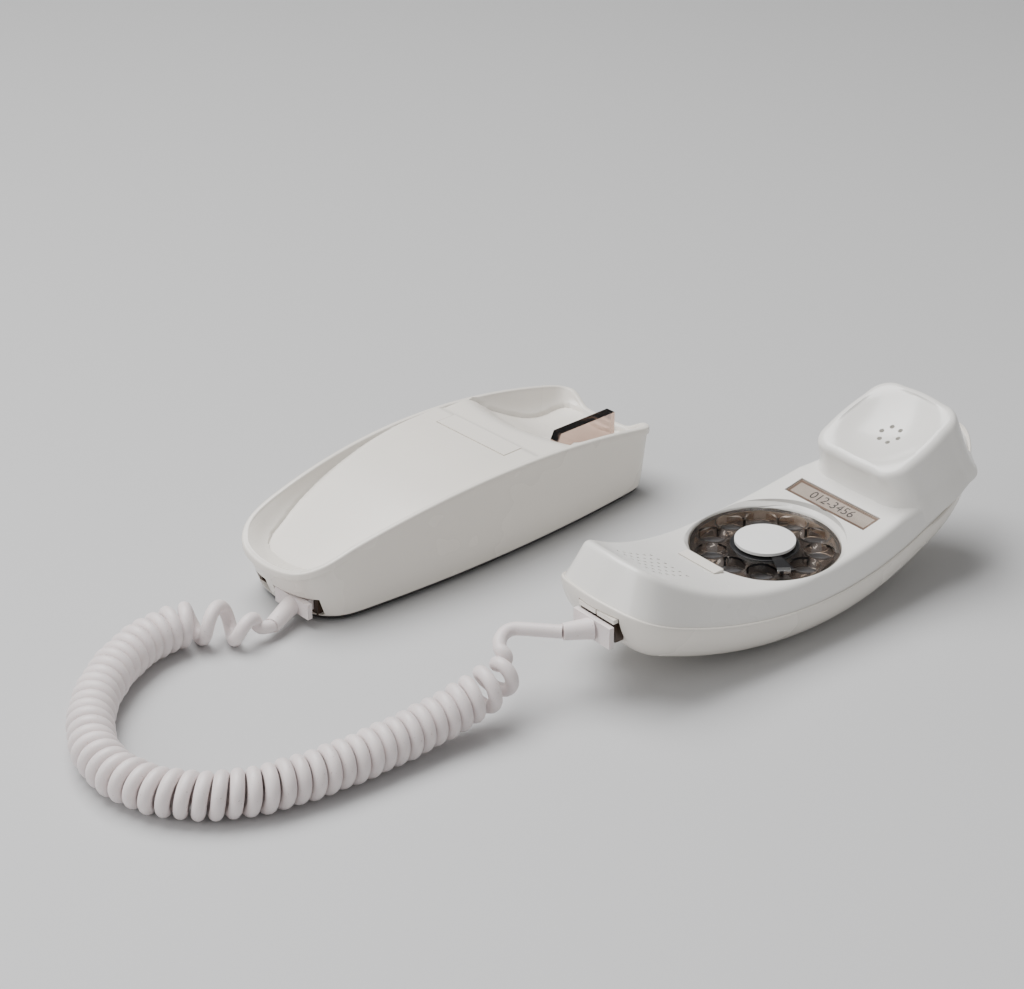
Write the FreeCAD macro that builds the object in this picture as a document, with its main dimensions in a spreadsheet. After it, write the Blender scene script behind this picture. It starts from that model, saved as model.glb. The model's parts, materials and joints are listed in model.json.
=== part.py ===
import FreeCAD, Part
import math
import os

import Sketcher
from FreeCAD import Placement, Rotation, Vector

# Compact bedside telephone, off the hook: a low cradle base, and beside it the
# handset, face up, with the dial between receiver and mouthpiece.
# Frame: millimetres, table at z = 0, base centred on the origin along X,
# +X towards the receiver end, +Z up. Handset pieces are made in a frame of
# their own, on the dial's axis at the face, and then set down beside the base.

os.makedirs("parts", exist_ok=True)
doc = FreeCAD.newDocument("bedside_telephone")
sheet = doc.addObject("Spreadsheet::Sheet", "Dimensions")
NODES = []
ROW = [1]


def dim(alias, value):
    """Put one plain number in the sheet and give the expression that reads it."""
    row = ROW[0]
    ROW[0] += 1
    sheet.set(f"A{row}", alias)
    sheet.set(f"B{row}", str(value))
    sheet.setAlias(f"B{row}", alias)
    return f"Dimensions.{alias}"


def size(alias):
    return float(getattr(sheet, alias))


# ---------------------------------------------------------------- driving sizes
DRIVING = {
    "wall_thickness": 2.2,
    "base_rim_height": 41.0,        # top of the arch of the rim
    "base_arch_radius": 340.0,
    "base_skirt_height": 2.8,       # the housing stops here, the pan shows below
    "scoop_end_floor": 17.0,
    "well_floor": 22.5,
    "saddle_plate_long": 9.4,
    "saddle_plate_wide": 41.0,
    "saddle_plate_x": 14.5,
    "pan_thickness": 1.6,
    "foot_radius": 5.0,
    "foot_height": 1.2,
    "lever_thickness": 4.6,
    "lever_pivot_x": 41.5,
    "lever_pivot_z": 25.6,
    "lever_lateral": -19.8,
    "gong_radius": 20.0,
    "gong_x": -44.0,
    "handset_x": 49.0,
    "handset_y": -128.5,
    "handset_z": 30.4,
    "handset_yaw": -3.3,
    "belly_depth": 30.4,
    "parting_depth": 12.0,
    "parting_radius": 212.0,
    "dial_opening_radius": 29.9,
    "wheel_radius": 29.3,
    "wheel_top": -1.2,
    "wheel_plate": 1.2,
    "wheel_skirt": 4.4,
    "finger_hole_radius": 6.0,
    "finger_hole_circle": 21.4,
    "finger_hole_step": 34.5,
    "hub_cap_radius": 12.0,
    "hub_cap_thickness": 1.2,
    "number_plate_thickness": 0.8,
    "mount_plate_thickness": 1.6,
    "shaft_radius": 3.0,
    "running_clearance": 0.05,
    "main_gear_teeth": 36,
    "governor_teeth": 12,
    "gear_module": 0.8,
    "gear_thickness": 2.0,
    "card_wide": 43.4,
    "card_long": 9.3,
    "card_x": 36.6,
    "card_tilt": 11.8,
    "receiver_x": 65.8,
    "receiver_z": 29.5,
    "receiver_tilt": 22.0,
    "receiver_capsule_radius": 17.0,
    "transmitter_x": -59.4,
    "transmitter_radius": 14.5,
    "cord_diameter": 5.3,
    "coil_diameter": 18.0,
}
for name, value in DRIVING.items():
    dim(name, value)
doc.recompute()

WALL = size("wall_thickness")
HANDSET = Placement(Vector(size("handset_x"), size("handset_y"), size("handset_z")),
                    Rotation(Vector(0, 0, 1), size("handset_yaw")))
BASE = Placement()


# -------------------------------------------------------------------- helpers
def keep(thing, label, place=BASE):
    """Name a finished sub-part and set it in its place."""
    thing.Label = label
    thing.Placement = place.multiply(thing.Placement)
    NODES.append(thing)
    return thing


def feature(label, shape, place=BASE):
    thing = doc.addObject("Part::Feature", label)
    thing.Shape = shape
    return keep(thing, label, place)


def bind(thing, **expressions):
    for prop, expression in expressions.items():
        thing.setExpression(prop, expression)
    return thing


def box(label, low, high, place=BASE):
    """A block given by its two corners, its sides bound to the sheet."""
    thing = doc.addObject("Part::Box", label)
    sides = [high[i] - low[i] for i in range(3)]
    bind(thing, Length=dim(label + "_long", sides[0]), Width=dim(label + "_wide", sides[1]),
         Height=dim(label + "_high", sides[2]))
    thing.Placement = Placement(Vector(*low), Rotation())
    return keep(thing, label, place)


def raw_box(low, high):
    sides = [high[i] - low[i] for i in range(3)]
    return Part.makeBox(*sides, Vector(*low))


def raw_tube(outer, inner, foot, height, axis=Vector(0, 0, 1)):
    body = Part.makeCylinder(outer, height, Vector(*foot), axis)
    if inner > 0:
        body = body.cut(Part.makeCylinder(inner, height, Vector(*foot), axis))
    return body


def tube(label, outer, inner, foot, height, place=BASE, turn=None):
    """A ring or rod as a cut of two cylinders, both bound to the sheet."""
    rod = doc.addObject("Part::Cylinder", label + "_rod")
    bind(rod, Radius=dim(label + "_radius", outer), Height=dim(label + "_height", height))
    spot = Placement(Vector(*foot), turn or Rotation())
    if inner <= 0:
        rod.Placement = spot
        return keep(rod, label, place)
    hole = doc.addObject("Part::Cylinder", label + "_hole")
    bind(hole, Radius=dim(label + "_bore", inner), Height=f"Dimensions.{label}_height")
    ring = doc.addObject("Part::Cut", label)
    ring.Base = rod
    ring.Tool = hole
    ring.Placement = spot
    return keep(ring, label, place)


def plane_of(body, role):
    return next(item for item in body.Origin.OriginFeatures if item.Role == role)


def sketch_on(body, name, role="XY_Plane", offset=0.0):
    sketch = body.newObject("Sketcher::SketchObject", name)
    sketch.AttachmentSupport = [(plane_of(body, role), "")]
    sketch.MapMode = "FlatFace"
    sketch.AttachmentOffset = Placement(Vector(0, 0, offset), Rotation())
    return sketch


def circle(sketch, expression, radius, x=0.0, y=0.0):
    index = sketch.addGeometry(Part.Circle(Vector(x, y, 0), Vector(0, 0, 1), radius), False)
    ruled = sketch.addConstraint(Sketcher.Constraint("Radius", index, radius))
    sketch.setExpression(f"Constraints[{ruled}]", expression)
    sketch.addConstraint(Sketcher.Constraint("DistanceX", -1, 1, index, 3, x))
    sketch.addConstraint(Sketcher.Constraint("DistanceY", -1, 1, index, 3, y))
    return index


def polygon(sketch, points):
    """A closed run of straight sides, every corner fixed."""
    count = len(points)
    for i in range(count):
        start = Vector(*points[i], 0)
        finish = Vector(*points[(i + 1) % count], 0)
        sketch.addGeometry(Part.LineSegment(start, finish), False)
    first = sketch.GeometryCount - count
    for i in range(count):
        following = first + (i + 1) % count
        sketch.addConstraint(Sketcher.Constraint("Coincident", first + i, 2, following, 1))
        sketch.addConstraint(Sketcher.Constraint("DistanceX", -1, 1, first + i, 1, points[i][0]))
        sketch.addConstraint(Sketcher.Constraint("DistanceY", -1, 1, first + i, 1, points[i][1]))


def pad(body, sketch, expression, name="Pad"):
    grown = body.newObject("PartDesign::Pad", name)
    grown.Profile = sketch
    grown.setExpression("Length", expression)
    doc.recompute()
    return grown


def outline(half, far_end, near_end, z=0.0, shrink=0.0):
    """A closed plan of arcs. `half` lists (x, half width) on the +Y side, every three
    points one arc; `near_end` and `far_end` are the x of the bowed ends on the centre line."""
    edges = []
    for i in range(0, len(half) - 1, 2):
        a, b, c = half[i:i + 3]
        edges.append(arc(Vector(*a, z), Vector(*b, z), Vector(*c, z)))
    right = half[-1]
    edges.append(arc(Vector(*right, z), Vector(far_end, 0, z), Vector(right[0], -right[1], z)))
    for i in range(len(half) - 1, 0, -2):
        a, b, c = half[i], half[i - 1], half[i - 2]
        edges.append(arc(Vector(a[0], -a[1], z), Vector(b[0], -b[1], z), Vector(c[0], -c[1], z)))
    left = half[0]
    edges.append(arc(Vector(left[0], -left[1], z), Vector(near_end, 0, z), Vector(*left, z)))
    wire = Part.Wire(edges)
    if shrink:
        wire = wire.makeOffset2D(-shrink)
    return wire


def prism(wire, height):
    return Part.Face(wire).extrude(Vector(0, 0, height))


def side_prism(edges, half_width):
    """Solid of a closed outline in the XZ plane, spread to both sides in Y."""
    face = Part.Face(Part.Wire(edges))
    face.translate(Vector(0, -half_width, 0))
    return face.extrude(Vector(0, 2 * half_width, 0))


def xz(x, z):
    return Vector(x, 0, z)


def line(a, b):
    return Part.LineSegment(a, b).toShape()


def arc(a, through, b):
    return Part.Arc(a, through, b).toShape()


def bow(radius, x, bottom=0.0):
    """Height at x of a circle that touches `bottom` at x = 0 and curves up."""
    return bottom + radius - math.sqrt(radius * radius - x * x)


# ------------------------------------------------------------------ cradle base
RIM_TOP = size("base_rim_height")
ARCH = size("base_arch_radius")
SKIRT = size("base_skirt_height")
# (x, half width) of the plan at the rim, three points to an arc
BASE_PLAN = [(-98, 9.5), (-95.0, 19.0), (-84, 26.6), (10, 32.5), (83, 28.8), (89.2, 26.6), (91, 21.5)]
BASE_ENDS = (87.5, -99.0)


def arch_z(x, drop=0.0):
    return RIM_TOP - bow(ARCH, x) - drop


def base_profile(inset, low):
    """Side view: a flat foot, ends that lean outwards, and the arch of the rim."""
    left_foot, left_rim = -90.5 + inset, -101.0 + inset
    right_foot, right_rim = 84.0 - inset, 94.0 - inset
    edges = [line(xz(left_foot, SKIRT), xz(right_foot, SKIRT)),
             line(xz(right_foot, SKIRT), xz(right_rim, arch_z(right_rim, inset))),
             arc(xz(right_rim, arch_z(right_rim, inset)), xz(0, arch_z(0, inset)),
                 xz(left_rim, arch_z(left_rim, inset))),
             line(xz(left_rim, arch_z(left_rim, inset)), xz(left_foot, SKIRT))]
    solid = side_prism(edges, 50)
    if low < SKIRT:
        solid = solid.fuse(raw_box((left_foot, -50, low), (right_foot, 50, SKIRT)))
    return solid


def base_solid(inset=0.0, low=0.0):
    plan = prism(outline(BASE_PLAN, *BASE_ENDS, z=low, shrink=inset), 60)
    return plan.common(base_profile(inset, low))


def scoop(drop=0.0):
    """Hollow for the mouthpiece end: the floor falls from the saddle to the cord end."""
    floor_end = size("scoop_end_floor") - drop
    start = xz(2, RIM_TOP - 0.4 - drop)
    bend = xz(-48, 31.0 - drop)
    finish = xz(-112, floor_end - 6.0)
    edges = [arc(start, bend, finish), line(finish, xz(-112, 60)),
             line(xz(-112, 60), xz(2, 60)), line(xz(2, 60), start)]
    return side_prism(edges, 60)


def well(drop=0.0):
    """Hollow for the receiver: a step down behind the saddle, then a long dish."""
    ridge = xz(26, RIM_TOP + 0.3 - drop)
    low = size("well_floor") - drop
    edges = [line(ridge, xz(30, 39.4 - drop)),
             line(xz(30, 39.4 - drop), xz(56, 26.5 - drop)),
             arc(xz(56, 26.5 - drop), xz(64, 23.6 - drop), xz(74, low)),
             line(xz(74, low), xz(112, low + 2)),
             line(xz(112, low + 2), xz(112, 60)),
             line(xz(112, 60), xz(26, 60)), line(xz(26, 60), ridge)]
    return side_prism(edges, 60)


def cradle_hollow(margin, drop):
    """Both hollows, kept `margin` inside the rim; the receiver end is left open."""
    plan = prism(outline(BASE_PLAN, *BASE_ENDS, z=5, shrink=margin), 50)
    open_end = raw_box((80, -21, 5), (112, 21, 55))
    return plan.fuse(open_end).common(scoop(drop).fuse(well(drop)))


def base_housing():
    """Moulded top: thin walls, the cradle pressed into it, holes for jacks, lever and wheel."""
    outer = base_solid(0.0, SKIRT).cut(cradle_hollow(RIM_WIDTH, 0.0))
    inner = base_solid(WALL, -5.0).cut(cradle_hollow(RIM_WIDTH - WALL, WALL))
    shell = outer.cut(inner)
    for x, y in SCREW_SPOTS:
        shell = shell.fuse(raw_tube(3.2, 0, (x, y, SKIRT), 40.0).common(outer))
        shell = shell.cut(raw_tube(1.2, 0, (x, y, 0), SKIRT + BOSS_HOLE))
    shell = shell.cut(raw_box((-100, JACK_Y - 10.6, 4.0), (-84, JACK_Y + 10.6, 11.6)))
    shell = shell.cut(raw_box((-100, INLET_Y - 6.2, 4.4), (-84, INLET_Y + 6.2, 12.0)))
    shell = shell.cut(raw_box((37.6, LEVER_Y - 3.0, 15.0), (72.4, LEVER_Y + 3.0, 45.0)))
    shell = shell.cut(raw_box((-3.2, 26, 4.6), (19.2, 36, 10.0)))
    plate_x = size("saddle_plate_x")
    half = size("saddle_plate_wide") / 2
    shell = shell.cut(raw_box((plate_x - 5.0, -half - 0.3, 40.05), (plate_x + 5.0, half + 0.3, 45)))
    return shell.removeSplitter()


RIM_WIDTH = 2.6
JACK_Y = -10.0
INLET_Y = 12.0
LEVER_Y = size("lever_lateral")
LEVER_X = size("lever_pivot_x")
LEVER_Z = size("lever_pivot_z")
SCREW_SPOTS = [(-66, -20), (-66, 20), (70, -8), (70, 19)]
FOOT_SPOTS = [(-79.0, -13.0), (-79.0, 13.0), (58.0, -19.0), (58.0, 19.0)]
BOSS_HOLE = 8.0
FOOT_HIGH = size("foot_height")
PAN_TOP = FOOT_HIGH + size("pan_thickness")

feature("base_housing", base_housing())


def base_pan():
    """Black steel pan: a flat floor with a turned-up edge inside the housing's foot."""
    floor = prism(outline(BASE_PLAN, *BASE_ENDS, z=FOOT_HIGH, shrink=1.0), PAN_TOP - FOOT_HIGH)
    floor = floor.common(raw_box((-89.5, -40, 0), (83.2, 40, 5)))
    for x, y in SCREW_SPOTS:
        floor = floor.cut(raw_tube(1.5, 0, (x, y, 0), 5))
    return floor


feature("base_pan", base_pan())


def rubber_feet():
    body = doc.addObject("PartDesign::Body", "rubber_feet")
    sketch = sketch_on(body, "FootCircles")
    for x, y in FOOT_SPOTS:
        circle(sketch, "Dimensions.foot_radius", size("foot_radius"), x, y)
    pad(body, sketch, "Dimensions.foot_height")
    return body


def saddle_plate():
    body = doc.addObject("PartDesign::Body", "saddle_plate")
    sketch = sketch_on(body, "Plate")
    half_long = size("saddle_plate_long") / 2
    half_wide = size("saddle_plate_wide") / 2
    polygon(sketch, [(-half_long, -half_wide), (half_long, -half_wide), (half_long, half_wide),
                     (-half_long, half_wide)])
    pad(body, sketch, dim("saddle_plate_thickness", 0.7))
    body.Placement = Placement(Vector(size("saddle_plate_x"), 0, 40.06), Rotation())
    return body


def base_screws():
    shank = raw_tube(1.15, 0, (0, 0, 0), 9.0)
    head = raw_tube(2.6, 0, (0, 0, -0.9), 0.9)
    screw = shank.fuse(head)
    copies = []
    for x, y in SCREW_SPOTS:
        one = screw.copy()
        one.translate(Vector(x, y, FOOT_HIGH - 0.02))
        copies.append(one)
    return Part.makeCompound(copies)


keep(rubber_feet(), "rubber_feet")
keep(saddle_plate(), "saddle_plate")
feature("base_screws", base_screws())

# ---------------------------------------------------------------------- ringer
GONG_X = size("gong_x")
GONG_R = size("gong_radius")
CLAPPER_X = -17.0
CLAPPER_Y = -14.0
WHEEL_X = 8.0
WHEEL_Y = 24.4


def ringer_frame():
    """Folded strip: a foot, two cheeks that hold the coil, and three posts."""
    strip = raw_box((-52, -6, PAN_TOP), (22, 6, PAN_TOP + 1.2))
    ears = raw_box((CLAPPER_X - 4, CLAPPER_Y - 4, PAN_TOP), (CLAPPER_X + 4, 0, PAN_TOP + 1.2))
    wing = raw_box((WHEEL_X - 4, 0, PAN_TOP), (WHEEL_X + 4, WHEEL_Y + 4, PAN_TOP + 1.2))
    cheeks = raw_box((-11, -6, PAN_TOP), (-9.6, 6, 22)).fuse(raw_box((19, -6, PAN_TOP), (20.4, 6, 22)))
    posts = raw_tube(2.0, 0, (GONG_X, 0, PAN_TOP), 13.0)
    posts = posts.fuse(raw_tube(1.5, 0, (CLAPPER_X, CLAPPER_Y, PAN_TOP), 12.0))
    posts = posts.fuse(raw_tube(1.5, 0, (WHEEL_X, WHEEL_Y, PAN_TOP), 7.0))
    return strip.fuse([ears, wing, cheeks, posts]).removeSplitter()


def ringer_gong():
    """Spun bell: a revolved cup, open downwards."""
    body = doc.addObject("PartDesign::Body", "ringer_gong")
    sketch = sketch_on(body, "GongSection", "XZ_Plane")
    r = GONG_R
    polygon(sketch, [(2.1, 11.0), (8.0, 11.0), (r - 5.0, 9.6), (r - 1.2, 5.0), (r - 1.2, 0.0), (r, 0.0),
                     (r, 5.6), (r - 4.2, 10.8), (8.4, 12.2), (2.1, 12.2)])
    turned = body.newObject("PartDesign::Revolution", "Spin")
    turned.Profile = sketch
    turned.ReferenceAxis = (sketch, ["V_Axis"])
    turned.Angle = 360
    doc.recompute()
    body.Placement = Placement(Vector(GONG_X, 0, 6.0), Rotation())
    return body


feature("ringer_frame", ringer_frame())
keep(ringer_gong(), "ringer_gong")
EAST = Rotation(Vector(0, 1, 0), 90)
tube("ringer_coil", 7.6, 2.2, (-9.3, 0, 13.0), 28.0, turn=EAST)
tube("ringer_core", 2.1, 0, (-9.2, 0, 13.0), 27.8, turn=EAST)


def ringer_clapper():
    hub = raw_tube(3.0, 1.5 + size("running_clearance"), (CLAPPER_X, CLAPPER_Y, 9.0), 4.0)
    arm = raw_box((CLAPPER_X - 1.0, CLAPPER_Y + 2.2, 10.0), (CLAPPER_X + 1.0, 2.0, 12.0))
    ball = Part.makeSphere(2.4, Vector(CLAPPER_X, 3.0, 11.0))
    return hub.fuse([arm, ball])


def volume_wheel():
    """Thumb wheel whose edge shows in a slot of the far wall."""
    wheel = raw_tube(9.0, 1.5 + size("running_clearance"), (WHEEL_X, WHEEL_Y, 5.6), 3.4)
    for i in range(24):
        turn = math.radians(15 * i)
        spot = (WHEEL_X + 9.3 * math.cos(turn), WHEEL_Y + 9.3 * math.sin(turn), 5.6)
        wheel = wheel.cut(raw_tube(0.7, 0, spot, 3.4))
    return wheel


feature("ringer_clapper", ringer_clapper())
feature("volume_wheel", volume_wheel())


# ------------------------------------------------- network board and hook switch
BOARD_X = 48.0


def network_board():
    board = raw_box((BOARD_X, -10.5, 6.0), (78.0, 22, 7.5))
    for x, y in ((52, -8), (74, 10)):
        board = board.fuse(raw_tube(2.0, 0, (x, y, PAN_TOP), 6.0 - PAN_TOP))
    for x, y in SCREW_SPOTS:
        board = board.cut(raw_tube(4.0, 0, (x, y, 0), 20))
    return board


feature("network_board", network_board())
box("network_capacitor", (50.5, 4, 7.5), (62.5, 20, 14.5))
box("induction_coil", (50.5, -10, 7.5), (62.5, 1, 15.5))


def hook_bracket():
    """Folded cheek plate that carries the lever's pin."""
    plate = raw_box((LEVER_X - 5, -26.4, PAN_TOP), (LEVER_X + 5, -12.6, PAN_TOP + 1.2))
    cheeks = raw_box((LEVER_X - 4, -26.4, PAN_TOP), (LEVER_X + 4, -25.2, LEVER_Z + 2.8))
    cheeks = cheeks.fuse(raw_box((LEVER_X - 4, -13.8, PAN_TOP), (LEVER_X + 4, -12.6, LEVER_Z + 2.8)))
    return plate.fuse(cheeks).cut(raw_tube(1.5, 0, (LEVER_X, -30, LEVER_Z), 30, Vector(0, 1, 0)))


def hook_lever():
    """Tinted wedge that stands up out of the receiver well, turning on a pin at its low end."""
    half = size("lever_thickness") / 2
    edges = [line(xz(38.6, 23.4), xz(38.6, 37.0)), line(xz(38.6, 37.0), xz(40.4, 40.4)),
             line(xz(40.4, 40.4), xz(71.2, 40.0)), line(xz(71.2, 40.0), xz(71.2, 21.6)),
             line(xz(71.2, 21.6), xz(38.6, 23.4))]
    face = Part.Face(Part.Wire(edges))
    face.translate(Vector(0, LEVER_Y - half, 0))
    block = face.extrude(Vector(0, 2 * half, 0))
    pin_bore = raw_tube(1.5 + size("running_clearance"), 0, (LEVER_X, -30, LEVER_Z), 30, Vector(0, 1, 0))
    return block.cut(pin_bore)


feature("hook_bracket", hook_bracket())
feature("hook_lever", hook_lever())
NORTH = Rotation(Vector(1, 0, 0), -90)
tube("hook_pivot_pin", 1.5, 0, (LEVER_X, -26.4, LEVER_Z), 13.8, turn=NORTH)
tube("hook_spring", 3.0, 1.7, (LEVER_X, -16.9, LEVER_Z), 2.6, turn=NORTH)


def hook_switch():
    """A stack of leaf contacts between insulating blocks."""
    stack = raw_box((56, LEVER_Y - 3.2, PAN_TOP), (64, LEVER_Y + 3.2, 8.0))
    for i in range(3):
        stack = stack.fuse(raw_box((58, LEVER_Y - 2.4, 8.0 + 1.8 * i), (74, LEVER_Y + 2.4, 8.4 + 1.8 * i)))
        stack = stack.fuse(raw_box((58, LEVER_Y - 3.2, 8.4 + 1.8 * i), (63, LEVER_Y + 3.2, 9.8 + 1.8 * i)))
    return stack.removeSplitter()


feature("hook_switch", hook_switch())


# -------------------------------------------------------- jacks, plugs and cord
def jack(width, height, foot, depth, pocket_width, pocket_height):
    """A socket block, open towards -X; foot is the middle of its mouth's lower edge."""
    x, y, z = foot
    block = raw_box((x, y - width / 2, z), (x + depth, y + width / 2, z + height))
    rise = (height - pocket_height) / 2
    pocket = raw_box((x - 1, y - pocket_width / 2, z + rise),
                     (x + depth - 2.2, y + pocket_width / 2, z + rise + pocket_height))
    return block.cut(pocket)


def plug(width, height, back, y, z, thickness, body_width, body_height, reach):
    """A flange that closes the opening, and the tongue that enters the jack."""
    flange = raw_box((back - thickness, y - width / 2, z - height / 2), (back, y + width / 2, z + height / 2))
    tongue = raw_box((back, y - body_width / 2, z - body_height / 2),
                     (back + reach, y + body_width / 2, z + body_height / 2))
    return flange.fuse(tongue).removeSplitter()


BASE_PLUG_Z = 7.8
BASE_PLUG_BACK = -91.2
feature("base_cord_jack", jack(17.0, 8.8, (-87.2, JACK_Y, 3.4), 13.0, 12.4, 5.4))
feature("line_jack", jack(12.0, 9.6, (-87.2, INLET_Y, 3.2), 13.0, 9.0, 6.4))
feature("base_plug", plug(20.4, 6.6, BASE_PLUG_BACK, JACK_Y, BASE_PLUG_Z, 2.2, 12.1, 5.1, 12.0))

CORD_R = size("cord_diameter") / 2
COIL_R = size("coil_diameter") / 2
BASE_EXIT = Vector(BASE_PLUG_BACK - 2.2, JACK_Y, BASE_PLUG_Z)
BASE_TIP = Vector(-107.0, -15.0, 5.4)


def relief(start, tip, wide, narrow):
    """Tapered sleeve from the plug's flange to the cord."""
    way = tip - start
    return Part.makeCone(wide, narrow, way.Length, start, way)


feature("base_strain_relief", relief(BASE_EXIT + Vector(0.5, 0, -0.4), BASE_TIP, 3.9, CORD_R + 0.6))


def cord_path(points):
    """Straight runs joined by tangent arcs, each as large as its two runs allow."""
    edges = []
    radii = []
    at = points[0]
    for i in range(1, len(points) - 1):
        before, corner, after = points[i - 1], points[i], points[i + 1]
        arrive = (corner - before).normalize()
        leave = (after - corner).normalize()
        turn = arrive.getAngle(leave)
        shorter = min((corner - before).Length, (after - corner).Length)
        reach = 0.45 * shorter
        radii.append(reach / math.tan(turn / 2))
        start = corner - arrive * reach
        finish = corner + leave * reach
        middle = (start + finish) * 0.5
        centre_way = (middle - corner).normalize()
        centre = corner + centre_way * math.hypot(radii[-1], reach)
        through = centre - centre_way * radii[-1]
        edges.append(line(at, start))
        edges.append(arc(start, through, finish))
        at = finish
    edges.append(line(at, points[-1]))
    return Part.Wire(edges), radii


def cord_tube(label, points, radius):
    path, radii = cord_path(points)
    way = points[1] - points[0]
    ring = Part.Wire([Part.Circle(points[0], way, radius).toShape()])
    solid = path.makePipeShell([ring], True, False)
    exact = math.pi * radius ** 2 * path.Length
    print(label, "length", round(path.Length, 1), "radii", [round(r) for r in radii],
          "volume ratio", round(solid.Volume / exact, 4))
    return solid


# The route of the cord on the table, from the base's plug to the handset's.
COIL_ROUTE = [Vector(-119, -9, 9.2), Vector(-133, 4, 9.2), Vector(-152, 5, 9.2),
              Vector(-176, -5, 9.2), Vector(-199, -24, 9.2), Vector(-215, -52, 9.2),
              Vector(-211, -82, 9.2), Vector(-190, -103, 9.2), Vector(-159, -111, 9.2),
              Vector(-128, -113.5, 9.4), Vector(-104, -115, 11.5), Vector(-88, -118, 16.0),
              Vector(-76, -117, 21.0)]
HANDSET_LEAD = [Vector(-76, -117, 21.0), Vector(-74.5, -108.5, 26.0), Vector(-66.0, -105.5, 28.0),
                Vector(-60.0, -112.8, 28.0), Vector(-54.0, -120.0, 27.9)]
BASE_LEAD = [BASE_TIP, Vector(-112.5, -15.8, 6.2), COIL_ROUTE[0]]
feature("cord_lead_base", cord_tube("cord_lead_base", BASE_LEAD, CORD_R))
feature("cord_coil", cord_tube("cord_coil", COIL_ROUTE, COIL_R))
feature("cord_lead_handset", cord_tube("cord_lead_handset", HANDSET_LEAD, CORD_R))

# ---------------------------------------------------------------- handset shells
BELLY = size("belly_depth")
PARTING = size("parting_depth")
PARTING_R = size("parting_radius")
# (x, half width) of the rear shell's plan, three points to an arc
HANDSET_PLAN = [(-88.6, 13.0), (-86.6, 21.5), (-78.5, 27.4), (0, 34.2), (62, 30.0), (90, 23.0), (104.0, 11.5)]
HANDSET_ENDS = (108.5, -90.5)
LEDGE = 1.0
EAR = Placement(Vector(size("receiver_x"), 0, size("receiver_z")),
                Rotation(Vector(0, 1, 0), -size("receiver_tilt")))
MOUTH_X = size("transmitter_x")


def face_z(x):
    """Height of the front face on the centre line: two bows that meet beside the dial."""
    if x < -8:
        return bow(120.0, x + 8, -0.27)
    return bow(230.0, x + 8, -0.27)


def parting_z(x, lift=0.0):
    return bow(PARTING_R, x, -PARTING) + lift


def belly_z(x, lift=0.0):
    radius = 215.0 if x < 3 else 172.0
    return bow(radius, x - 3, -BELLY) + lift


def curve_between(height, x1, x2, lift=0.0):
    middle = (x1 + x2) / 2
    return arc(xz(x1, height(x1) + lift), xz(middle, height(middle) + lift), xz(x2, height(x2) + lift))


def rear_profile(inset):
    """Side view of the rear shell: the belly below, the parting line above."""
    left, right = -91.0 + inset, 109.0 - inset
    low_left, low_right = -84.0 + inset, 103.0 - inset
    lift = inset
    top_left, top_right = parting_z(left), parting_z(right)
    edges = [curve_between(belly_z, low_left, 3.0, lift), curve_between(belly_z, 3.0, low_right, lift),
             line(xz(low_right, belly_z(low_right, lift)), xz(right, top_right)),
             curve_between(parting_z, left, right),
             line(xz(left, top_left), xz(left, -2.0 + inset)),
             line(xz(left, -2.0 + inset), xz(low_left, belly_z(low_left, lift)))]
    return side_prism(Part.__sortEdges__(edges), 50)


def front_profile(inset):
    """Side view of the front shell: the parting line below, the face above."""
    left, right = -90.0 + inset, 108.0 - inset
    face_left, face_right = -80.0 + inset, 97.0 - inset
    drop = -inset
    edges = [curve_between(parting_z, left, right, 0.05),
             line(xz(right, parting_z(right) + 0.05), xz(face_right, 24.0 - inset)),
             line(xz(face_right, 24.0 - inset), xz(46.0, face_z(46.0) - inset)),
             curve_between(face_z, -8.0, 46.0, drop), curve_between(face_z, face_left, -8.0, drop),
             line(xz(face_left, face_z(face_left) + drop), xz(left, parting_z(left) + 0.05))]
    return side_prism(Part.__sortEdges__(edges), 50)


def cap_wire(x1, x2, half, radius, z):
    """The cap's outline at one height, anticlockwise from the +X, -Y corner."""
    k = radius * (1 - math.sqrt(0.5))
    arcs = [
        (Vector(x2 - radius, -half, z), Vector(x2 - k, -half + k, z), Vector(x2, -half + radius, z)),
        (Vector(x2, half - radius, z), Vector(x2 - k, half - k, z), Vector(x2 - radius, half, z)),
        (Vector(x1 + radius, half, z), Vector(x1 + k, half - k, z), Vector(x1, half - radius, z)),
        (Vector(x1, -half + radius, z), Vector(x1 + k, -half + k, z), Vector(x1 + radius, -half, z)),
    ]
    edges = []
    for i in range(4):
        edges.append(arc(*arcs[i]))
        edges.append(line(arcs[i][2], arcs[(i + 1) % 4][0]))
    return Part.Wire(edges)


def receiver_cap(inset, low, high):
    """Tapered block along the receiver's tilted axis."""
    body = Part.makeLoft([cap_wire(-25.5 + inset, 25.5 - inset, 26.0 - inset, 10.0 - inset, low),
                          cap_wire(-22.5 + inset, 22.5 - inset, 23.2 - inset, 9.0 - inset, high)], True, True)
    body.Placement = EAR
    return body


def in_ear(shape):
    shape.Placement = EAR
    return shape


MOUTH = Placement(Vector(MOUTH_X, 0, bow(120.0, MOUTH_X + 8, -0.27)),
                  Rotation(Vector(0, 1, 0), math.degrees(math.asin(-(MOUTH_X + 8) / 120.0))))


def front_outer():
    plan = prism(outline(HANDSET_PLAN, *HANDSET_ENDS, z=-40, shrink=LEDGE), 100)
    block = plan.common(front_profile(0.0))
    below = side_prism([curve_between(parting_z, -95.0, 115.0, 0.05),
                        line(xz(115, parting_z(115) + 0.05), xz(115, -60)),
                        line(xz(115, -60), xz(-95, -60)),
                        line(xz(-95, -60), xz(-95, parting_z(-95) + 0.05))], 60)
    return block.fuse(receiver_cap(0.0, -24.0, 0.0).cut(below).common(plan))


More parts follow.
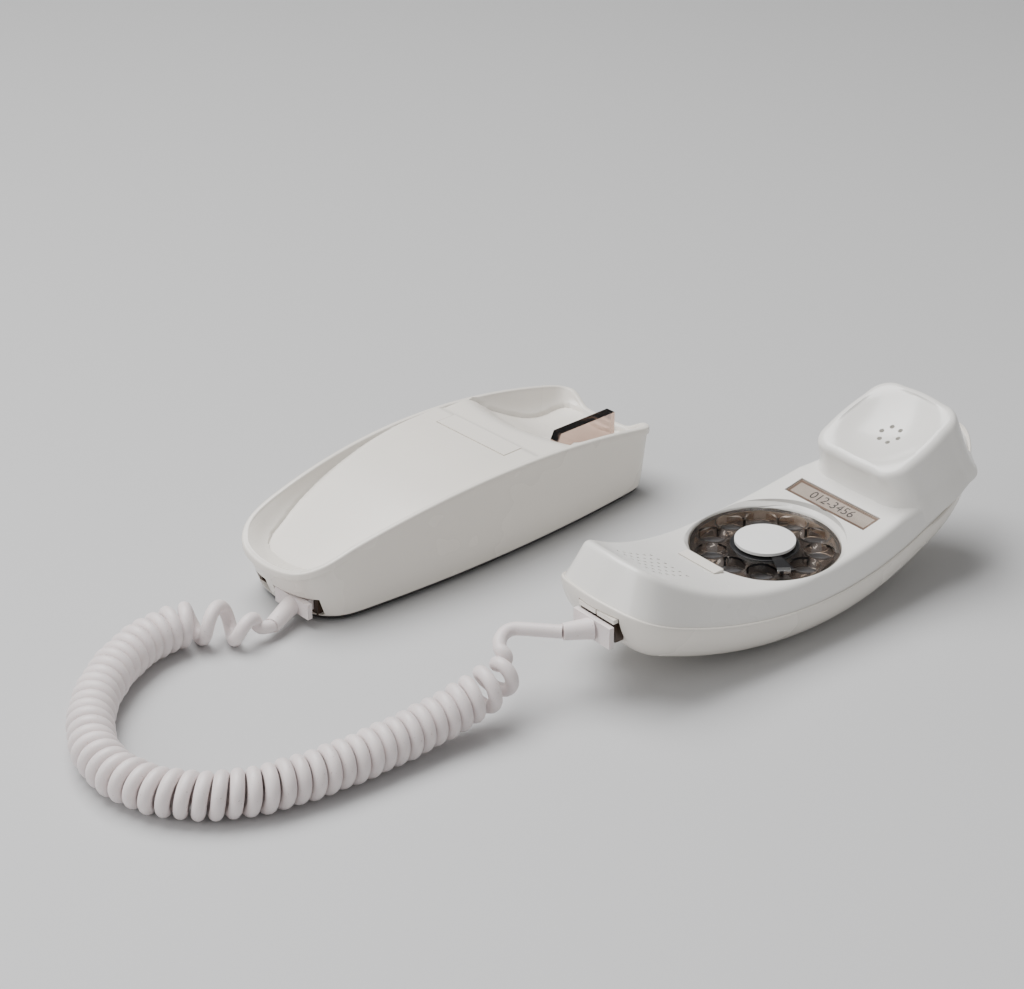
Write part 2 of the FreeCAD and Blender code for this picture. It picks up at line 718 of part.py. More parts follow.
def handset_front_shell():
    """Front moulding: face, receiver cap with its dish, dial well, slots and sound holes."""
    inner_plan = prism(outline(HANDSET_PLAN, *HANDSET_ENDS, z=-40, shrink=LEDGE + WALL), 100)
    inner = inner_plan.common(front_profile(WALL)).fuse(
        receiver_cap(WALL, -30.0, -7.6).common(inner_plan))
    shell = front_outer().cut(inner.fuse(inner.translated(Vector(0, 0, -6)).common(inner_plan)))
    opening = size("dial_opening_radius")
    shell = shell.fuse(raw_tube(opening + 1.3, 0, (0, 0, -5.9), 4.8))
    shell = shell.cut(raw_tube(opening, 0, (0, 0, -12), 30))
    shell = shell.cut(Part.makeCone(opening, opening + 2.0, 2.0, Vector(0, 0, -0.9)))
    dish = in_ear(Part.makeSphere(DISH_R, Vector(0, 0, DISH_R - DISH_DEPTH)))
    shell = shell.cut(dish)
    for i in range(6):
        turn = math.radians(30 + 60 * i)
        spot = (4.45 * math.cos(turn), 4.45 * math.sin(turn), -12)
        shell = shell.cut(in_ear(raw_tube(0.95, 0, spot, 14)))
    for i in range(6):
        for j in range(6):
            hole = raw_tube(0.75, 0, (MIC_PITCH_X * (i - 2.5), MIC_PITCH_Y * (j - 2.5), -5), 8)
            hole.Placement = MOUTH
            shell = shell.cut(hole)
    shell = shell.cut(raw_box((RECALL_X - 2.7, -10.3, -4), (RECALL_X + 2.7, 10.3, 8)))
    window = raw_box((-size("card_long") / 2 - 0.2, -size("card_wide") / 2 - 0.2, -1.35),
                     (size("card_long") / 2 + 0.2, size("card_wide") / 2 + 0.2, 4))
    window.Placement = CARD
    return shell.cut(window)


DISH_R = 44.0
DISH_DEPTH = 5.2
MIC_PITCH_X = 3.8
MIC_PITCH_Y = 4.05
RECALL_X = -34.2
CARD = Placement(Vector(size("card_x"), 0, face_z(size("card_x"))),
                 Rotation(Vector(0, 1, 0), -size("card_tilt")))
PLUG_Y = -3.5
PLUG_Z = -2.6


def handset_rear_shell():
    """Rear moulding: the curved belly, open at the parting line, slotted for the cord's plug."""
    outer = prism(outline(HANDSET_PLAN, *HANDSET_ENDS, z=-40), 80).common(rear_profile(0.0))
    inner = prism(outline(HANDSET_PLAN, *HANDSET_ENDS, z=-40, shrink=WALL), 80).common(
        rear_profile(WALL).fuse(rear_profile(WALL).translated(Vector(0, 0, WALL + 1))))
    shell = outer.cut(inner)
    shell = shell.cut(raw_box((-100, PLUG_Y - 10.7, PLUG_Z - 4.6), (-84, PLUG_Y + 10.7, PLUG_Z + 7.4)))
    for x in (-55.0, 62.0):
        post = raw_tube(3.0, 0, (x, 0, -40), 40 + belly_z(x) + 8.0).common(outer)
        shell = shell.fuse(post).cut(raw_tube(1.3, 0, (x, 0, -60), 120))
        shell = shell.cut(raw_tube(2.8, 0, (x, 0, -60), 60 + belly_z(x) + 1.65))
    return shell


feature("handset_front_shell", handset_front_shell(), HANDSET)
feature("handset_rear_shell", handset_rear_shell(), HANDSET)

# ------------------------------------------------------------ dial and its works
TOP = size("wheel_top")
HOLE_R = size("finger_hole_radius")
RING_R = size("finger_hole_circle")
STEP = size("finger_hole_step")
STOP_ANGLE = -113.0
FIRST_HOLE = STOP_ANGLE + 25.0
SHAFT_R = size("shaft_radius")
RUN = size("running_clearance")
MAIN_TEETH = int(size("main_gear_teeth"))
PINION_TEETH = int(size("governor_teeth"))
MODULE = size("gear_module")


def finger_wheel():
    """Clear wheel: a disc with ten finger holes, each with a skirt, and a rim."""
    radius = size("wheel_radius")
    plate = size("wheel_plate")
    skirt = size("wheel_skirt")
    wheel = raw_tube(radius, 0, (0, 0, TOP - plate), plate)
    wheel = wheel.fuse(raw_tube(radius, radius - 1.6, (0, 0, TOP - skirt), skirt))
    spots = []
    for i in range(10):
        turn = math.radians(FIRST_HOLE + STEP * i)
        spots.append((RING_R * math.cos(turn), RING_R * math.sin(turn)))
    for x, y in spots:
        wheel = wheel.fuse(raw_tube(HOLE_R + 0.7, 0, (x, y, TOP - skirt), skirt))
    for x, y in spots:
        wheel = wheel.cut(raw_tube(HOLE_R, 0, (x, y, TOP - 10), 20))
    return wheel.cut(raw_tube(SHAFT_R, 0, (0, 0, -20), 30)).removeSplitter()


def dial_shaft():
    """Turned spindle: a pad-made rod with a collar under the hub cap."""
    body = doc.addObject("PartDesign::Body", "dial_shaft")
    rod = sketch_on(body, "Rod")
    circle(rod, "Dimensions.shaft_radius", SHAFT_R)
    pad(body, rod, dim("dial_shaft_length", 19.0))
    body.Placement = Placement(Vector(0, 0, -19.0), Rotation())
    return body


def hub_cap():
    body = doc.addObject("PartDesign::Body", "hub_cap")
    rim = sketch_on(body, "Rim")
    circle(rim, "Dimensions.hub_cap_radius", size("hub_cap_radius"))
    pad(body, rim, "Dimensions.hub_cap_thickness")
    body.Placement = Placement(Vector(0, 0, 0.0), Rotation())
    return body


def gear(teeth, z, thickness, bore):
    """Spur gear with straight-flanked teeth, cut thin so that it runs free."""
    pitch = teeth * MODULE / 2
    root = pitch - 1.2 * MODULE
    tip = pitch + 0.8 * MODULE
    disc = raw_tube(root, 0, (0, 0, z), thickness)
    half_root = 0.62 * MODULE
    half_tip = 0.30 * MODULE
    corners = [Vector(root - 0.3, -half_root, z), Vector(tip, -half_tip, z),
               Vector(tip, half_tip, z), Vector(root - 0.3, half_root, z)]
    tooth = Part.Face(Part.makePolygon(corners + corners[:1])).extrude(Vector(0, 0, thickness))
    teeth_solids = []
    for i in range(teeth):
        one = tooth.copy()
        one.rotate(Vector(0, 0, 0), Vector(0, 0, 1), 360.0 * i / teeth)
        teeth_solids.append(one)
    wheel = disc.fuse(teeth_solids)
    return wheel.cut(raw_tube(bore, 0, (0, 0, z - 1), thickness + 2)) if bore else wheel


GEAR_Z = -13.2
GEAR_THICK = size("gear_thickness")
MESH_ANGLE = 135.0
CENTRES = (MAIN_TEETH + PINION_TEETH) * MODULE / 2


def meshed(shape):
    """Carry a pinion out to its place beside the main gear, half a tooth round."""
    shape.rotate(Vector(0, 0, 0), Vector(0, 0, 1), 180.0 + 180.0 / PINION_TEETH)
    shape.translate(Vector(CENTRES, 0, 0))
    shape.rotate(Vector(0, 0, 0), Vector(0, 0, 1), MESH_ANGLE)
    return shape


def main_gear():
    wheel = gear(MAIN_TEETH, GEAR_Z, GEAR_THICK, SHAFT_R)
    wheel.rotate(Vector(0, 0, 0), Vector(0, 0, 1), MESH_ANGLE)
    return wheel


def governor_gear():
    """Pinion with its spindle and the two flyweight arms that brake the dial."""
    pinion = gear(PINION_TEETH, GEAR_Z, GEAR_THICK, 0)
    spindle = raw_tube(1.2, 0, (0, 0, -20.0), 9.6)
    arms = raw_box((-4.2, -0.8, -18.6), (4.2, 0.8, -17.2))
    return meshed(pinion.fuse([spindle, arms]))


def governor_case():
    cup = raw_tube(6.4, 5.4, (0, 0, -21.0), 5.4)
    floor = raw_tube(6.4, 1.2 + RUN, (0, 0, -21.0), 1.0)
    return meshed(cup.fuse(floor))


def finger_stop():
    """Black wedge over the wheel, its tip bent, on a ring that turns about the shaft."""
    low, high = TOP + 0.25, -0.3
    ring = raw_tube(8.0, SHAFT_R + RUN, (0, 0, low), high - low)
    corners = [Vector(6.5, -1.2, low), Vector(24.2, -3.4, low), Vector(24.2, 3.4, low), Vector(6.5, 1.2, low)]
    wedge = Part.Face(Part.makePolygon(corners + corners[:1])).extrude(Vector(0, 0, high - low))
    lip = [xz(22.0, high - 0.1), xz(24.2, high - 0.1), xz(24.2, high + 0.5)]
    hook = Part.Face(Part.makePolygon(lip + lip[:1]))
    hook.translate(Vector(0, -3.2, 0))
    stop = ring.fuse([wedge, hook.extrude(Vector(0, 6.4, 0))])
    stop.rotate(Vector(0, 0, 0), Vector(0, 0, 1), STOP_ANGLE)
    return stop.removeSplitter()


def plate_body(name, outer, inner, expression, z):
    """A flat ring padded from a sketch of two circles."""
    body = doc.addObject("PartDesign::Body", name)
    rings = sketch_on(body, name + "_rings")
    circle(rings, dim(name + "_radius", outer), outer)
    circle(rings, dim(name + "_bore", inner), inner)
    pad(body, rings, expression)
    body.Placement = Placement(Vector(0, 0, z), Rotation())
    return body


feature("finger_wheel", finger_wheel(), HANDSET)
keep(dial_shaft(), "dial_shaft", HANDSET)
keep(hub_cap(), "hub_cap", HANDSET)
feature("main_gear", main_gear(), HANDSET)
feature("governor_gear", governor_gear(), HANDSET)
feature("governor_case", governor_case(), HANDSET)
feature("finger_stop", finger_stop(), HANDSET)
keep(plate_body("number_plate", 29.6, 4.0, "Dimensions.number_plate_thickness", -7.2),
     "number_plate", HANDSET)
keep(plate_body("dial_mount_plate", 29.6, SHAFT_R + RUN, "Dimensions.mount_plate_thickness", -9.2),
     "dial_mount_plate", HANDSET)
tube("dial_main_spring", 8.6, 3.6, (0, 0, -18.4), 3.6, HANDSET)
box("dial_contacts", (17.0, -18.0, -18.0), (23.0, -8.0, -11.0), HANDSET)
tube("dial_lamp", 2.2, 0, (22.0, 13.0, -17.0), 7.2, HANDSET)

# ----------------------------------------------------------- other handset pieces
box("handset_board", (-30.0, -13.0, -24.4), (30.0, 13.0, -23.0), HANDSET)


def recall_button():
    """White bar with a flange below the face that keeps it in its slot."""
    bar = raw_box((RECALL_X - 2.4, -10.0, -2.0), (RECALL_X + 2.4, 10.0, face_z(RECALL_X) + 1.0))
    flange = raw_box((RECALL_X - 3.6, -11.4, -2.0), (RECALL_X + 2.4, 11.4, -0.9))
    return bar.fuse(flange).removeSplitter()


feature("recall_button", recall_button(), HANDSET)
box("recall_switch", (RECALL_X - 3.0, -7.0, -9.0), (RECALL_X + 2.0, 7.0, -3.7), HANDSET)


def card_strip(name, thickness_name, thickness, z):
    """Rectangular strip in the window's recess, padded from its sketch."""
    body = doc.addObject("PartDesign::Body", name)
    strip = sketch_on(body, name + "_outline")
    half_long = size("card_long") / 2
    half_wide = size("card_wide") / 2
    polygon(strip, [(-half_long, -half_wide), (half_long, -half_wide), (half_long, half_wide),
                    (-half_long, half_wide)])
    pad(body, strip, dim(thickness_name, thickness))
    body.Placement = CARD.multiply(Placement(Vector(0, 0, z), Rotation()))
    return body


keep(card_strip("number_card", "card_thickness", 0.3, -1.3), "number_card", HANDSET)
keep(card_strip("card_window", "window_thickness", 0.8, -0.95), "card_window", HANDSET)


def capsule(radius, thickness, top, place):
    """Round transducer: a drum with a raised rim on its face."""
    drum = raw_tube(radius, 0, (0, 0, top - thickness), thickness - 0.8)
    drum = drum.fuse(raw_tube(radius, radius - 2.0, (0, 0, top - 0.8), 0.8))
    drum.Placement = place
    return drum


EAR_CAPSULE_TOP = -DISH_DEPTH - WALL - 1.6
MOUTH_CAPSULE_TOP = -WALL - 1.2
feature("receiver_capsule", capsule(size("receiver_capsule_radius"), 10.0, EAR_CAPSULE_TOP, EAR), HANDSET)
feature("receiver_gasket", in_ear(raw_tube(12.0, 9.0, (0, 0, EAR_CAPSULE_TOP), 1.4)), HANDSET)
feature("transmitter_capsule", capsule(size("transmitter_radius"), 7.0, MOUTH_CAPSULE_TOP, MOUTH), HANDSET)


def transmitter_cup():
    cup = raw_tube(size("transmitter_radius") + 1.6, size("transmitter_radius") + 0.2,
                   (0, 0, MOUTH_CAPSULE_TOP - 8.6), 8.6)
    cup = cup.fuse(raw_tube(size("transmitter_radius") + 1.6, 0, (0, 0, MOUTH_CAPSULE_TOP - 8.6), 1.2))
    cup.Placement = MOUTH
    return cup


feature("transmitter_cup", transmitter_cup(), HANDSET)
feature("handset_cord_jack", jack(17.0, 8.0, (-88.0, PLUG_Y, PLUG_Z - 4.0), 9.0, 12.4, 5.4), HANDSET)
feature("handset_plug", plug(20.4, 8.8, -90.3, PLUG_Y, PLUG_Z, 2.2, 12.1, 5.1, 7.6), HANDSET)


def plug_latch():
    """Spring strip with the two tabs that show over the plug."""
    tabs = raw_box((-90.2, PLUG_Y - 9.8, PLUG_Z + 5.3), (-88.6, PLUG_Y - 0.4, PLUG_Z + 7.1))
    tabs = tabs.fuse(raw_box((-90.2, PLUG_Y + 0.4, PLUG_Z + 5.3), (-88.6, PLUG_Y + 9.8, PLUG_Z + 7.1)))
    return tabs.fuse(raw_box((-88.6, PLUG_Y - 9.8, PLUG_Z + 5.3), (-87.8, PLUG_Y + 9.8, PLUG_Z + 7.1)))


feature("plug_latch", plug_latch(), HANDSET)
HANDSET_EXIT = Vector(-92.5, PLUG_Y, PLUG_Z)
HANDSET_TIP = Vector(-102.0, 1.5, -2.6)
feature("handset_strain_relief",
        relief(HANDSET_EXIT + Vector(0.6, 0, 0), HANDSET_TIP, 4.2, CORD_R + 0.6), HANDSET)


def handset_screws():
    copies = []
    for x in (-55.0, 62.0):
        shank = raw_tube(1.2, 0, (x, 0, belly_z(x) + 1.6), 16.0)
        head = raw_tube(2.6, 0, (x, 0, belly_z(x) + 0.3), 1.3)
        copies.append(shank.fuse(head))
    return Part.makeCompound(copies)


feature("handset_screws", handset_screws(), HANDSET)


# ---------------------------------------------------------------------- writing
doc.recompute()
for thing in doc.Objects:
    if "Invalid" in thing.State or "Error" in thing.State:
        raise RuntimeError(f"{thing.Name} failed: {thing.State}")
for thing in NODES:
    if thing.Shape.isNull() or not thing.Shape.isValid():
        raise RuntimeError(f"{thing.Label} has no valid shape")
for thing in NODES:
    thing.Shape.exportStep(f"parts/{thing.Label}.step")
print(len(NODES), "sub-parts written")
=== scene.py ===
"""Dressed model of the bedside telephone: low cradle base, curly cord and dial handset."""
import json
import math
import bmesh
import bpy
import numpy as np
from mathutils import Matrix, Vector


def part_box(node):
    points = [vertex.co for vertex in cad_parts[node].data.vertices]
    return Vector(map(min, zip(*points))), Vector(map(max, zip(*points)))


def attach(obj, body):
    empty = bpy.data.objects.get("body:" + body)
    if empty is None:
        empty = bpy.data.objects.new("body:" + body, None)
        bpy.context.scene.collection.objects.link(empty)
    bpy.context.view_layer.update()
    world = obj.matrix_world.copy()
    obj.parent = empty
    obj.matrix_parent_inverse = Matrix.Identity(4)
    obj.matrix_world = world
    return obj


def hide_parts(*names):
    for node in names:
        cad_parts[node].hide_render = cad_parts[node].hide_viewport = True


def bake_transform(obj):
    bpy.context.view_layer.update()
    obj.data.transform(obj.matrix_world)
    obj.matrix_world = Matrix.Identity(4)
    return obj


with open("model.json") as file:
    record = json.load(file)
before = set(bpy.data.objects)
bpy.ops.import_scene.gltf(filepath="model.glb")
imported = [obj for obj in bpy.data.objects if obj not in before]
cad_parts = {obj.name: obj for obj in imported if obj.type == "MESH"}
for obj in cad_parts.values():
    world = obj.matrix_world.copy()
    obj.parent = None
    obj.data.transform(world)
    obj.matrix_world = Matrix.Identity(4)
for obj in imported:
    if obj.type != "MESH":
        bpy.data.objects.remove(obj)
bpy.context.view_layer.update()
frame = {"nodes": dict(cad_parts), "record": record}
NODES = frame["nodes"]
MM = 0.001

# The handset's own frame: x to the ear, z out of the face, origin at the dial's centre.
HANDSET_Z = 30.4
HANDSET = Matrix.Translation((49.0, -128.5, HANDSET_Z)) @ Matrix.Rotation(math.radians(-3.3), 4, "Z")
EAR = Matrix.Translation((65.8, 0, 29.5)) @ Matrix.Rotation(math.radians(-22.0), 4, "Y")
BASE = Matrix.Identity(4)
WALL = 2.2
AROUND = 288
PLAN_SMOOTHING = 12
# Ends of the line on which each moulding's rings close, along its own x axis.
BASE_SPINE = (-66, 62)
FRONT_SPINE = (-56, 84)
REAR_SPINE = (-62, 84)


# ------------------------------------------------------------ materials
def node_tree(name):
    material = bpy.data.materials.new(name)
    material.use_nodes = True
    tree = material.node_tree
    shader = tree.nodes["Principled BSDF"]
    return material, tree, shader


def texture(tree, kind, scale, detail=3.0):
    """A procedural texture in the object's own coordinates, which are metres."""
    where = tree.nodes.new("ShaderNodeTexCoord")
    made = tree.nodes.new(kind)
    made.inputs["Scale"].default_value = scale
    if "Detail" in made.inputs:
        made.inputs["Detail"].default_value = detail
    tree.links.new(where.outputs["Object"], made.inputs["Vector"])
    return made


def ramp(tree, source, stops):
    """Colours or greys by a 0 to 1 value."""
    made = tree.nodes.new("ShaderNodeValToRGB")
    elements = made.color_ramp.elements
    while len(elements) < len(stops):
        elements.new(0.5)
    for element, (place, colour) in zip(elements, stops):
        element.position = place
        element.color = (*colour, 1.0)
    tree.links.new(source, made.inputs["Fac"])
    return made.outputs["Color"]


def bump(tree, shader, source, depth, strength=1.0):
    made = tree.nodes.new("ShaderNodeBump")
    made.inputs["Distance"].default_value = depth
    made.inputs["Strength"].default_value = strength
    tree.links.new(source, made.inputs["Height"])
    tree.links.new(made.outputs["Normal"], shader.inputs["Normal"])


def shade(colour, factor):
    return tuple(c * factor for c in colour)


def moulded(name, colour, rough, spread=0.05, grain=900.0, depth=0.00002, coat=0.0):
    """Moulded plastic: cloudy colour, patchy gloss and a faint skin texture."""
    material, tree, shader = node_tree(name)
    cloud = texture(tree, "ShaderNodeTexNoise", 22.0)
    fine = texture(tree, "ShaderNodeTexNoise", grain)
    tint = ramp(tree, cloud.outputs["Fac"], [(0.3, shade(colour, 1 - spread)), (0.7, colour)])
    tree.links.new(tint, shader.inputs["Base Color"])
    gloss = ramp(tree, cloud.outputs["Fac"], [(0.3, (rough * 0.85,) * 3), (0.7, (rough * 1.15,) * 3)])
    tree.links.new(gloss, shader.inputs["Roughness"])
    bump(tree, shader, fine.outputs["Fac"], depth, 0.4)
    shader.inputs["Coat Weight"].default_value = coat
    shader.inputs["Coat Roughness"].default_value = 0.12
    return material


def metal(name, colour, rough, stretch=1.0):
    """Worked metal with fine marks along one way and duller patches."""
    material, tree, shader = node_tree(name)
    marks = texture(tree, "ShaderNodeTexNoise", 700.0, 2.0)
    patch = texture(tree, "ShaderNodeTexNoise", 60.0)
    turn = tree.nodes.new("ShaderNodeMapping")
    turn.inputs["Scale"].default_value = (0.06 * stretch, 1.0, 1.0)
    tree.links.new(marks.inputs["Vector"].links[0].from_socket, turn.inputs["Vector"])
    tree.links.new(turn.outputs["Vector"], marks.inputs["Vector"])
    tint = ramp(tree, patch.outputs["Fac"], [(0.3, shade(colour, 0.82)), (0.7, colour)])
    tree.links.new(tint, shader.inputs["Base Color"])
    gloss = ramp(tree, marks.outputs["Fac"], [(0.3, (rough * 0.7,) * 3), (0.7, (rough * 1.3,) * 3)])
    tree.links.new(gloss, shader.inputs["Roughness"])
    bump(tree, shader, marks.outputs["Fac"], 0.00002, 0.3)
    shader.inputs["Metallic"].default_value = 1.0
    return material


def clear(name, colour, rough, transmission):
    """Tinted clear plastic with faint flow marks and rubbed patches."""
    material, tree, shader = node_tree(name)
    flow = texture(tree, "ShaderNodeTexNoise", 40.0)
    tint = ramp(tree, flow.outputs["Fac"], [(0.35, shade(colour, 0.9)), (0.65, colour)])
    tree.links.new(tint, shader.inputs["Base Color"])
    gloss = ramp(tree, flow.outputs["Fac"], [(0.35, (rough * 0.6,) * 3), (0.65, (rough * 1.4,) * 3)])
    tree.links.new(gloss, shader.inputs["Roughness"])
    bump(tree, shader, flow.outputs["Fac"], 0.00002, 0.3)
    shader.inputs["Transmission Weight"].default_value = transmission
    shader.inputs["IOR"].default_value = 1.49
    return material


def vinyl(name, colour):
    """Soft cord jacket: slightly milky, with dust specks and rubbed lines."""
    material, tree, shader = node_tree(name)
    cloud = texture(tree, "ShaderNodeTexNoise", 60.0)
    specks = texture(tree, "ShaderNodeTexNoise", 1300.0, 4.0)
    tint = ramp(tree, cloud.outputs["Fac"], [(0.3, shade(colour, 0.94)), (0.7, colour)])
    dust = ramp(tree, specks.outputs["Fac"], [(0.27, (0.45, 0.36, 0.34)), (0.34, (1, 1, 1))])
    mix = tree.nodes.new("ShaderNodeMix")
    mix.data_type = "RGBA"
    mix.blend_type = "MULTIPLY"
    mix.inputs["Factor"].default_value = 0.55
    tree.links.new(tint, mix.inputs["A"])
    tree.links.new(dust, mix.inputs["B"])
    tree.links.new(mix.outputs["Result"], shader.inputs["Base Color"])
    gloss = ramp(tree, cloud.outputs["Fac"], [(0.3, (0.34,) * 3), (0.7, (0.46,) * 3)])
    tree.links.new(gloss, shader.inputs["Roughness"])
    bump(tree, shader, specks.outputs["Fac"], 0.00003, 0.35)
    shader.inputs["Subsurface Weight"].default_value = 0.08
    shader.inputs["Subsurface Radius"].default_value = (0.002, 0.0015, 0.0012)
    shader.inputs["Subsurface Scale"].default_value = 1.0
    return material


IVORY = moulded("ivory_plastic", (0.86, 0.815, 0.745), 0.27, 0.03, coat=0.15)
IVORY_COOL = moulded("handset_plastic", (0.87, 0.85, 0.81), 0.24, 0.03, coat=0.2)
HUB_WHITE = moulded("hub_white", (0.86, 0.855, 0.84), 0.42, 0.03)
CORD = vinyl("cord_vinyl", (0.83, 0.755, 0.745))
BLACK_STEEL = moulded("black_steel", (0.022, 0.021, 0.02), 0.42, 0.2, 500.0, 0.00005)
RUBBER = moulded("foot_rubber", (0.03, 0.03, 0.032), 0.8, 0.3, 500.0, 0.0001)
SMOKE = clear("smoked_acrylic", (0.80, 0.70, 0.62), 0.05, 1.0)
LEVER_SMOKE = clear("lever_acrylic", (0.60, 0.44, 0.38), 0.06, 1.0)
WINDOW = clear("window_clear", (0.93, 0.89, 0.85), 0.04, 1.0)
PLATE = moulded("plate_grey", (0.10, 0.10, 0.105), 0.38, 0.15)
STOP = moulded("stop_black", (0.012, 0.012, 0.013), 0.28, 0.2, 600.0, coat=0.3)
PHENOLIC = moulded("phenolic", (0.06, 0.035, 0.022), 0.35, 0.2)
BOARD = moulded("board_green", (0.03, 0.10, 0.04), 0.4, 0.2)
PAPER = moulded("card_paper", (0.82, 0.76, 0.71), 0.7, 0.06, 1500.0, 0.00004)
INK = moulded("grey_ink", (0.045, 0.045, 0.05), 0.6, 0.2)
BORDER = moulded("card_border", (0.30, 0.20, 0.15), 0.5, 0.08)
DIGIT_WHITE = moulded("digit_white", (0.75, 0.75, 0.74), 0.5, 0.1)
STEEL = metal("steel", (0.62, 0.62, 0.61), 0.28)
BRIGHT = metal("bright_steel", (0.85, 0.85, 0.84), 0.12)
BRASS = metal("gong_brass", (0.70, 0.52, 0.25), 0.25)
COPPER = metal("copper_winding", (0.70, 0.34, 0.20), 0.32, 8.0)

SLOT_MATERIALS = {
    "ivory_plastic": IVORY, "black_steel": BLACK_STEEL, "foot_rubber": RUBBER, "smoked_acrylic": SMOKE,
    "hub_white": HUB_WHITE, "plate_grey": PLATE, "stop_black": STOP, "steel": STEEL, "gong_brass": BRASS,
    "copper_winding": COPPER, "board_green": BOARD, "phenolic": PHENOLIC, "card_paper": PAPER,
    "window_clear": WINDOW, "cord_vinyl": CORD,
}


def paint(obj, material):
    obj.data.materials.clear()
    obj.data.materials.append(material)
    return obj


for part in frame["record"]["subparts"]:
    paint(NODES[part["node"]], SLOT_MATERIALS[part["material_slot"]])


# ------------------------------------------------------------ camera, light and floor
TARGET = Vector((0.0404, 0.008, 0.0))
DISTANCE = 1.151
AZIMUTH = math.radians(-42.6)
ELEVATION = math.radians(28.4)

camera_data = bpy.data.cameras.new("camera")
camera_data.lens = 94.9
camera_data.sensor_width = 36.0
camera = bpy.data.objects.new("camera", camera_data)
bpy.context.collection.objects.link(camera)
back = Vector((math.sin(AZIMUTH) * math.cos(ELEVATION), -math.cos(AZIMUTH) * math.cos(ELEVATION),
               math.sin(ELEVATION)))
camera.location = TARGET + back * DISTANCE
camera.rotation_mode = "QUATERNION"
camera.rotation_quaternion = (-back).to_track_quat("-Z", "Y")
camera_data.clip_start = 0.05
camera_data.clip_end = 20.0
bpy.context.scene.camera = camera


def soft_light(name, place, aim, size, power, colour=(1.0, 1.0, 1.0)):
    data = bpy.data.lights.new(name, "AREA")
    data.shape = "RECTANGLE"
    data.size, data.size_y = size
    data.energy = power
    data.color = colour
    lamp = bpy.data.objects.new(name, data)
    lamp.location = place
    lamp.rotation_mode = "QUATERNION"
    lamp.rotation_quaternion = (Vector(aim) - Vector(place)).to_track_quat("-Z", "Y")
    bpy.context.collection.objects.link(lamp)


soft_light("top_light", (-0.15, 0.55, 1.5), (0, -0.05, 0), (1.5, 1.1), 44.0)
soft_light("left_light", (-1.5, 0.25, 0.8), (0, -0.05, 0), (0.9, 0.9), 8.0)
soft_light("front_fill", (-0.3, -1.7, 1.0), (0, -0.05, 0), (1.4, 1.0), 1.5)

world = bpy.data.worlds.new("studio")
world.use_nodes = True
world.node_tree.nodes["Background"].inputs["Color"].default_value = (0.86, 0.86, 0.86, 1)
world.node_tree.nodes["Background"].inputs["Strength"].default_value = 0.38
bpy.context.scene.world = world


def falloff_shaded_floor(away):
    """Matt paper with painted shade: paler in front of the object and darker far behind it, painted in place
    of the light's falloff.
    """
    material, tree, shader = node_tree("falloff_shaded_floor")
    place = tree.nodes.new("ShaderNodeTexCoord")
    depth = tree.nodes.new("ShaderNodeVectorMath")
    depth.operation = "DOT_PRODUCT"
    depth.inputs[1].default_value = away
    tree.links.new(place.outputs["Object"], depth.inputs[0])
    share = tree.nodes.new("ShaderNodeMapRange")
    share.inputs["From Min"].default_value = -0.35
    share.inputs["From Max"].default_value = 1.1
    tree.links.new(depth.outputs["Value"], share.inputs["Value"])
    # Painted shade: the floor's grey falls from pale near the object to dark far behind it, standing in for
    # the light's falloff.
    painted_falloff = ramp(tree, share.outputs["Result"], [(0.0, (0.60, 0.60, 0.605)), (0.4, (0.49, 0.49, 0.49)),
                                                (1.0, (0.36, 0.36, 0.36))])
    tree.links.new(painted_falloff, shader.inputs["Base Color"])
    shader.inputs["Roughness"].default_value = 0.85
    return material


def studio_floor():
    """One pale sheet that curves up far behind the object."""
    made = bmesh.new()
    profile = [(-3.0, 0.0), (1.6, 0.0)]
    for i in range(1, 13):
        turn = math.pi / 2 * i / 12
        profile.append((1.6 + 0.8 * math.sin(turn), 0.8 * (1 - math.cos(turn))))
    profile.append((2.4, 3.0))
    away = -back.copy()
    away.z = 0
    away.normalize()
    side = Vector((away.y, -away.x, 0))
    rows = []
    for d, z in profile:
        rows.append([made.verts.new(away * d + side * s + Vector((0, 0, z))) for s in (-4.0, 4.0)])
    for a, b in zip(rows, rows[1:]):
        made.faces.new((a[0], a[1], b[1], b[0]))
    mesh = bpy.data.meshes.new("studio_floor")
    made.to_mesh(mesh)
    made.free()
    for face in mesh.polygons:
        face.use_smooth = True
    floor = bpy.data.objects.new("studio_floor", mesh)
    bpy.context.collection.objects.link(floor)
    paint(floor, falloff_shaded_floor(away))
    return floor


studio_floor()


# ------------------------------------------------------------ mesh tools
def make_object(name, points, faces, place=BASE, smooth=True, merge=False):
    """A mesh object from points in millimetres of the given place."""
    mesh = bpy.data.meshes.new(name)
    moved = [(place @ Vector(p)) * MM for p in points]
    mesh.from_pydata(moved, [], faces)
    mesh.validate()
    tidy = bmesh.new()
    tidy.from_mesh(mesh)
    if merge:
        bmesh.ops.remove_doubles(tidy, verts=tidy.verts, dist=1e-7)
    bmesh.ops.recalc_face_normals(tidy, faces=tidy.faces)
    tidy.to_mesh(mesh)
    tidy.free()
    for face in mesh.polygons:
        face.use_smooth = smooth
    obj = bpy.data.objects.new(name, mesh)
    bpy.context.collection.objects.link(obj)
    return obj


def fan_faces(start, count):
    return [list(range(start, start + count))]


def loft(name, rings, place=BASE, close=None, smooth=True):
    """A closed surface through rings of equal count. Its end rings are closed by faces, or
    else they already lie folded on a line and their points are joined."""
    count = len(rings[0])
    points = np.vstack(rings)
    faces = []
    for k in range(len(rings) - 1):
        low, high = k * count, (k + 1) * count
        for i in range(count):
            j = (i + 1) % count
            faces.append([low + i, low + j, high + j, high + i])
    if close:
        faces += close(0, count) + close((len(rings) - 1) * count, count)
        return make_object(name, points, faces, place, smooth)
    return make_object(name, points, faces, place, smooth, True)


